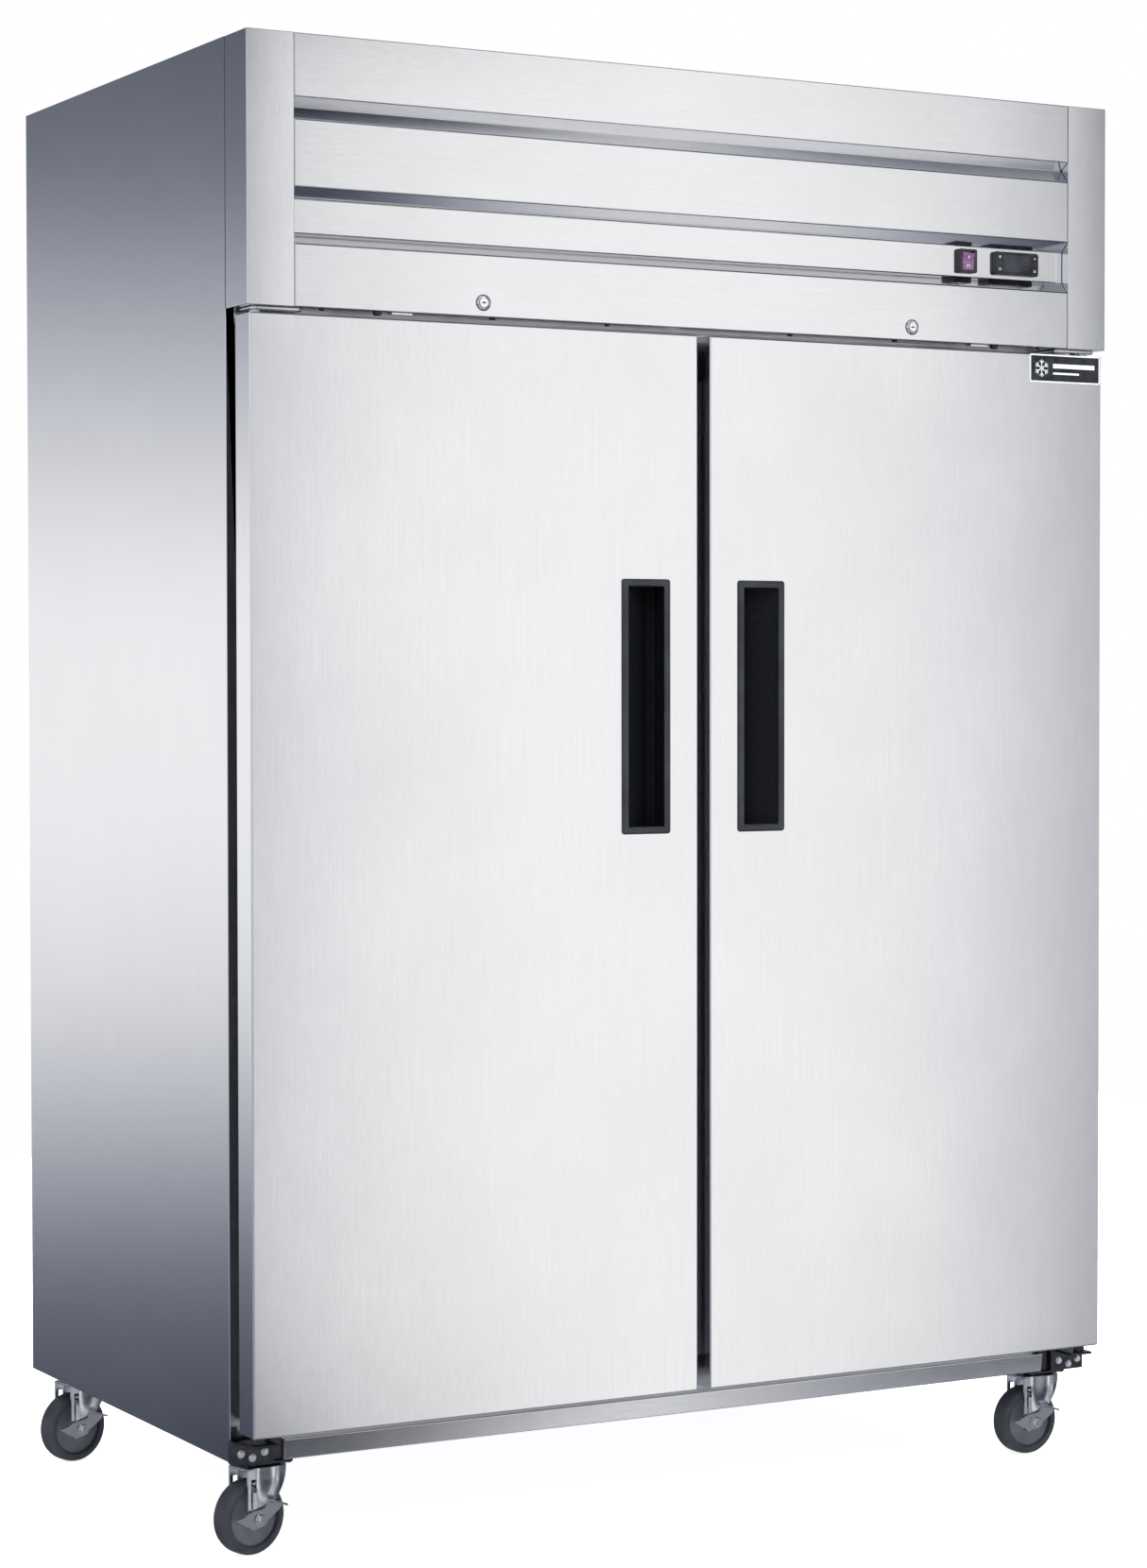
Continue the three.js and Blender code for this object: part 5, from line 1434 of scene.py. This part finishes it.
def make_coil(name, low, high, pitch, rows, columns, look="fins"):
    """A finned block along X with end plates, and copper tubes turning back at its ends."""
    low, high = Vector(low), Vector(high)
    reach = 15 * MM
    bm = bmesh.new()
    count = int((high.x - low.x - 2 * reach) / pitch)
    for i in range(count + 1):
        x = low.x + reach + i * pitch
        sheet(bm, (x, low.y + 2 * MM, low.z + 3 * MM), (x + 0.5 * MM, high.y - 2 * MM, high.z - 3 * MM))
    piece(f"{name}_fins", bm, look, "cabinet")
    bm = bmesh.new()
    for x in (low.x + reach - 3 * MM, low.x + reach + count * pitch + 2 * MM):
        block(bm, (x, low.y, low.z), (x + 1.5 * MM, high.y, high.z), 0.5 * MM)
    piece(f"{name}_end_plates", bm, "galvanised", "cabinet")
    bm = bmesh.new()
    across, up = (high.y - low.y) / columns, (high.z - low.z) / rows
    for column in range(columns):
        y = low.y + across * (column + 0.5)
        for row in range(0, rows - 1, 2):
            z0, z1 = low.z + up * (row + 0.5), low.z + up * (row + 1.5)
            ends = [(low.x + 2 * MM, z0), (high.x - 2 * MM, z0), (high.x - 2 * MM, z1), (low.x + 14 * MM, z1)]
            tube(bm, fillet([Vector((x, y, z)) for x, z in ends], up * 0.49, 6), 4 * MM, 10)
        for row in range(1, rows - 2, 2):
            z0, z1 = low.z + up * (row + 0.5), low.z + up * (row + 1.5)
            bend = [(low.x + 14 * MM, z0), (low.x + 2 * MM, z0), (low.x + 2 * MM, z1), (low.x + 14 * MM, z1)]
            tube(bm, fillet([Vector((x, y, z)) for x, z in bend], up * 0.49, 6), 4 * MM, 10)
    piece(f"{name}_tubes", bm, "copper", "cabinet")


def make_evaporator():
    low, high = BOX["evaporator_cover"]
    refine("evaporator_cover", "liner_steel", 0.8 * MM)
    fan = middle("evaporator_fan")
    pivot = Vector(JOINT["evaporator_fan_spin"]["pos_m"])
    at = Matrix.Translation((pivot.x, pivot.y, fan.z))
    radius = 90 * MM
    make_fan("evaporator_fan", at, radius, 24 * MM, 34 * MM, 5, "moulded_black")
    make_guard("evaporator_fan_guard", facing("down", (pivot.x, pivot.y, low.z + 1 * MM)), 99 * MM, 6,
               "moulded_black")
    bm = bmesh.new()
    rod(bm, 28 * MM, fan.z + 19 * MM, high.z - 12 * MM, Matrix.Translation((pivot.x, pivot.y, 0)), 32, 3 * MM)
    piece("evaporator_motor", bm, "enamel", "cabinet")
    make_coil("evaporator_coil", (low.x + 30 * MM, high.y - 95 * MM, low.z + 20 * MM),
              (high.x - 30 * MM, high.y - 30 * MM, high.z - 14 * MM), 6 * MM, 4, 2)
    bm = bmesh.new()
    for x in (low.x + 14 * MM, high.x - 14 * MM):
        for y in (low.y + 14 * MM, high.y - 20 * MM):
            screw(bm, facing("down", (x, y, low.z)), 5 * MM, 2.4 * MM)
    piece("evaporator_screws", bm, "zinc", "cabinet")


# ---------------------------------------------------------------- machine compartment
def line(bm, points, radius, bend=14 * MM):
    """A tube or wire through bent corners."""
    tube(bm, fillet([Vector(p) for p in points], bend, 6), radius, 10)


def make_compressor():
    low, high = BOX["compressor"]
    centre = middle("compressor")
    base = low.z + 22 * MM
    radius = (high.y - low.y) / 2
    at = Matrix.Translation((centre.x, centre.y, 0))
    seam = base + (high.z - base) * 0.52
    dome = high.z
    shell = [(0, base), (radius * 0.72, base), (radius * 0.9, base + 8 * MM), (radius * 0.97, base + 24 * MM),
             (radius * 0.97, seam - 5 * MM), (radius, seam - 3 * MM), (radius, seam + 3 * MM),
             (radius * 0.97, seam + 5 * MM), (radius * 0.965, dome - 52 * MM),
             (radius * 0.88, dome - 24 * MM),
             (radius * 0.66, dome - 7 * MM), (radius * 0.36, dome - 0.5 * MM), (0, dome)]
    bm = bmesh.new()
    lathe(bm, shell, at, 56)
    foot = Matrix.Translation((centre.x, centre.y, base - 3.5 * MM))
    slab(bm, high.x - low.x - 2 * MM, 0.14, 3.5 * MM, foot, 16 * MM, 0.8 * MM, 0.8 * MM)
    block(bm, (centre.x - 34 * MM, centre.y - radius - 26 * MM, base + 40 * MM),
          (centre.x + 34 * MM, centre.y - radius + 18 * MM, base + 112 * MM), 5 * MM)
    piece("compressor_shell", bm, "enamel", "cabinet", ["compressor"], 35)
    bm = bmesh.new()
    bolts = bmesh.new()
    for u in (-1, 1):
        for v in (-1, 1):
            place = (centre.x + u * 90 * MM, centre.y + v * 56 * MM, 0)
            stand = Matrix.Translation(place)
            grommet = millimetres([(0, 0), (12, 0), (12, 5), (10, 6.5), (10, 9), (12, 10.5), (12, 16),
                                   (9, 18), (0, 18)])
            lathe(bm, [(r, low.z + h) for r, h in grommet], stand, 24)
            rod(bolts, 8.5 * MM, base, base + 1.4 * MM, stand, 24)
            hex_head(bolts, Matrix.Translation((place[0], place[1], base + 1.4 * MM)), 12 * MM, 6 * MM)
    piece("compressor_mounts", bm, "gasket", "cabinet")
    piece("compressor_bolts", bolts, "zinc", "cabinet")


def make_condenser():
    low, high = BOX["condenser_coil"]
    make_coil("condenser_coil", low, high, 3.2 * MM, 10, 2)
    anchor = bmesh.new()
    block(anchor, (low.x + 14 * MM, low.y + 1 * MM, low.z),
          (high.x - 14 * MM, low.y + 12 * MM, low.z + 3 * MM), 0.5 * MM)
    piece("condenser_coil_foot", anchor, "galvanised", "cabinet", ["condenser_coil"])
    refine("condenser_fan_shroud", "enamel", 0.7 * MM)
    pivot = Vector(JOINT["condenser_fan_spin"]["pos_m"])
    fan = middle("condenser_fan")
    at = facing("back", (pivot.x, fan.y, pivot.z))
    make_fan("condenser_fan", at, 91 * MM, 26 * MM, 34 * MM, 5, "fins")
    shroud_rear = BOX["condenser_fan_shroud"][1].y
    make_guard("condenser_fan_guard", facing("back", (pivot.x, shroud_rear + 2 * MM, pivot.z)), 104 * MM, 6,
               "enamel")
    bm = bmesh.new()
    motor = facing("back", (pivot.x, fan.y, pivot.z))
    body = [(0, 21), (30, 21), (36, 26), (36, 74), (31, 82), (12, 84), (0, 84)]
    lathe(bm, millimetres(body), motor, 40)
    piece("condenser_motor", bm, "enamel", "cabinet")
    bm = bmesh.new()
    back = fan.y + 62 * MM
    knee, tray = 1.74, 1.6745        # heights of a leg's bend and of its foot
    for side in (-1, 1):
        x = pivot.x + side * 30 * MM
        spread = x + side * 34 * MM
        foot = [(x, back, pivot.z - 20 * MM), (spread, back, knee), (spread, back, tray)]
        line(bm, foot, 5 * MM)
    piece("condenser_motor_legs", bm, "galvanised", "cabinet")


def make_pipework():
    """Copper lines, a receiver and a filter drier between the compressor, the coil and the cabinet."""
    compressor = middle("compressor")
    coil_low, coil_high = BOX["condenser_coil"]
    deck = BOX["condensing_unit_base"][0].z + 3 * MM
    copper = bmesh.new()
    receiver = Vector((0.03, 0.1))
    top = deck + 135 * MM
    low_line = deck + 60 * MM        # heights of the level runs
    hot, inlet, outlet, suction = 1.80, 1.905, 1.69, 1.76
    rear = 0.2                       # Y of the runs along the back
    before = coil_low.x - 40 * MM
    front = coil_low.y + 26 * MM
    line(copper, [(compressor.x + 60 * MM, compressor.y - 55 * MM, hot), (before, compressor.y - 90 * MM, hot),
                  (before, front, hot), (before, front, inlet), (coil_low.x + 6 * MM, front, inlet)], 4 * MM)
    past = coil_high.x + 20 * MM
    line(copper, [(coil_high.x - 4 * MM, coil_high.y - 26 * MM, outlet), (past, coil_high.y - 26 * MM, outlet),
                  (past, receiver.y, outlet), (0.15, receiver.y, outlet), (0.15, receiver.y, top + 24 * MM),
                  (receiver.x, receiver.y, top + 24 * MM), (receiver.x, receiver.y, top - 4 * MM)], 3.2 * MM)
    line(copper, [(receiver.x + 20 * MM, receiver.y, low_line), (0.11, 0.17, low_line),
                  (0.02, rear, low_line), (-0.02, rear, low_line)], 3.2 * MM)
    line(copper, [(-0.15, rear, low_line), (-0.24, rear, low_line), (-0.24, rear, deck + 1 * MM)], 3.2 * MM)
    beyond = compressor.x - 135 * MM
    line(copper, [(compressor.x - 70 * MM, compressor.y + 40 * MM, suction),
                  (beyond, compressor.y + 40 * MM, suction), (beyond, rear, suction),
                  (beyond, rear, deck - 2 * MM)], 5 * MM)
    piece("refrigerant_lines", copper, "copper", "cabinet")
    drier = bmesh.new()
    shape = [(3.5, -66), (5, -60), (13, -50), (14, -46), (14, 46), (13, 50), (5, 60), (3.5, 66)]
    lathe(drier, millimetres(shape), facing("right", (-0.085, rear, low_line)), 32)
    piece("filter_drier", drier, "copper", "cabinet")
    tank = bmesh.new()
    body = [(0, 0), (24, 2), (30, 12), (31, 66), (31.6, 67), (31.6, 71), (31, 72), (30, 122), (24, 132),
            (0, 135)]
    lathe(tank, millimetres(body), Matrix.Translation((receiver.x, receiver.y, deck)), 40)
    piece("receiver_tank", tank, "enamel", "cabinet")


def make_electrics():
    low, high = BOX["electrical_box"]
    lid = 3 * MM
    bm = bmesh.new()
    block(bm, low, high - Vector((0, 0, lid)), 1.5 * MM)
    piece("electrical_box_case", bm, "galvanised", "cabinet", ["electrical_box"])
    bm = bmesh.new()
    centre = middle("electrical_box")
    slab(bm, high.x - low.x, high.y - low.y, lid, facing("up", (centre.x, centre.y, high.z - lid)), 3 * MM,
         1 * MM)
    piece("electrical_box_lid", bm, "steel_level", "cabinet")
    bm = bmesh.new()
    for x in (low.x + 12 * MM, high.x - 12 * MM):
        for y in (low.y + 12 * MM, high.y - 12 * MM):
            screw(bm, facing("up", (x, y, high.z)), 4.5 * MM, 2.4 * MM)
    piece("electrical_box_screws", bm, "zinc", "cabinet")
    wires = bmesh.new()
    deck = BOX["cabinet_ceiling"][1].z
    compressor = middle("compressor")
    run = deck + 9 * MM
    terminals = Vector((compressor.x + 34 * MM, compressor.y - 95 * MM, deck + 84 * MM))
    line(wires, [(low.x + 5 * MM, centre.y, deck + 60 * MM), (low.x - 40 * MM, centre.y, deck + 60 * MM),
                 (low.x - 40 * MM, centre.y, run), (low.x - 40 * MM, -0.03, run), (-0.09, -0.03, run),
                 (-0.09, terminals.y, terminals.z), (terminals.x - 4 * MM, terminals.y, terminals.z)], 5 * MM)
    line(wires, [(centre.x, low.y + 3 * MM, deck + 90 * MM), (centre.x, low.y - 20 * MM, deck + 90 * MM),
                 (BOX["controller"][0].x + 30 * MM, BOX["controller"][1].y - 2 * MM,
                  middle("controller").z)], 3.5 * MM)
    gland = middle("cord_gland")
    line(wires, [(high.x - 20 * MM, high.y - 3 * MM, deck + 60 * MM), (high.x - 20 * MM, 0.1, deck + 50 * MM),
                 (gland.x, 0.3, gland.z), (gland.x, BOX["cord_gland"][0].y + 4 * MM, gland.z)], 5 * MM)
    piece("compartment_wires", wires, "gasket", "cabinet")


VENTS = 5
VENT_PITCH = 215 * MM
VENT_SHIFT = -60 * MM
VENT_WIDTH = 180 * MM
VENT_LOW, VENT_HIGH = 1.775, 1.965
LOUVRES = 9


def make_rear():
    """Louvres in the rear vents, and screws along the rear guard."""
    guard = BOX["rear_wall"][1].y - 14 * MM
    for i in range(VENTS):
        x = VENT_SHIFT + (i - (VENTS - 1) / 2) * VENT_PITCH
        bm = bmesh.new()
        for k in range(LOUVRES):
            z = VENT_LOW + (VENT_HIGH - VENT_LOW) * (k + 0.5) / LOUVRES
            slat = millimetres([(-10, 8), (0, 8), (9, -7), (8, -7.6), (-0.6, 6.8), (-10, 6.8)])
            place = facing("right", (x - VENT_WIDTH / 2 + 0.4 * MM, guard, z))
            prism(bm, fillet(slat, 0.8 * MM, 2, closed=True), VENT_WIDTH - 0.8 * MM, place)
        piece(f"vent_louvres_{i}", bm, "steel_level", "cabinet")
    bm = bmesh.new()
    for i in range(VENTS + 1):
        x = VENT_SHIFT + (i - VENTS / 2) * VENT_PITCH
        for z in (VENT_LOW - 30 * MM, VENT_HIGH + 30 * MM):
            screw(bm, facing("back", (x, guard, z)), 5 * MM, 2.6 * MM)
    piece("rear_guard_screws", bm, "zinc", "cabinet")


# ---------------------------------------------------------------- build
make_stage()
make_materials()
make_shell()
make_doors()
for name, side in SIDES.items():
    make_lock(name)
    make_hinges(name, side)
    make_header_gap(name, side)
make_switch()
make_controller()
make_keys()
for corner in ("front_left", "front_right", "rear_left", "rear_right"):
    make_caster(corner)
make_interior()
make_evaporator()
refine("condensing_unit_base", "galvanised", 0.6 * MM)
make_compressor()
make_condenser()
make_pipework()
make_electrics()
make_rear()
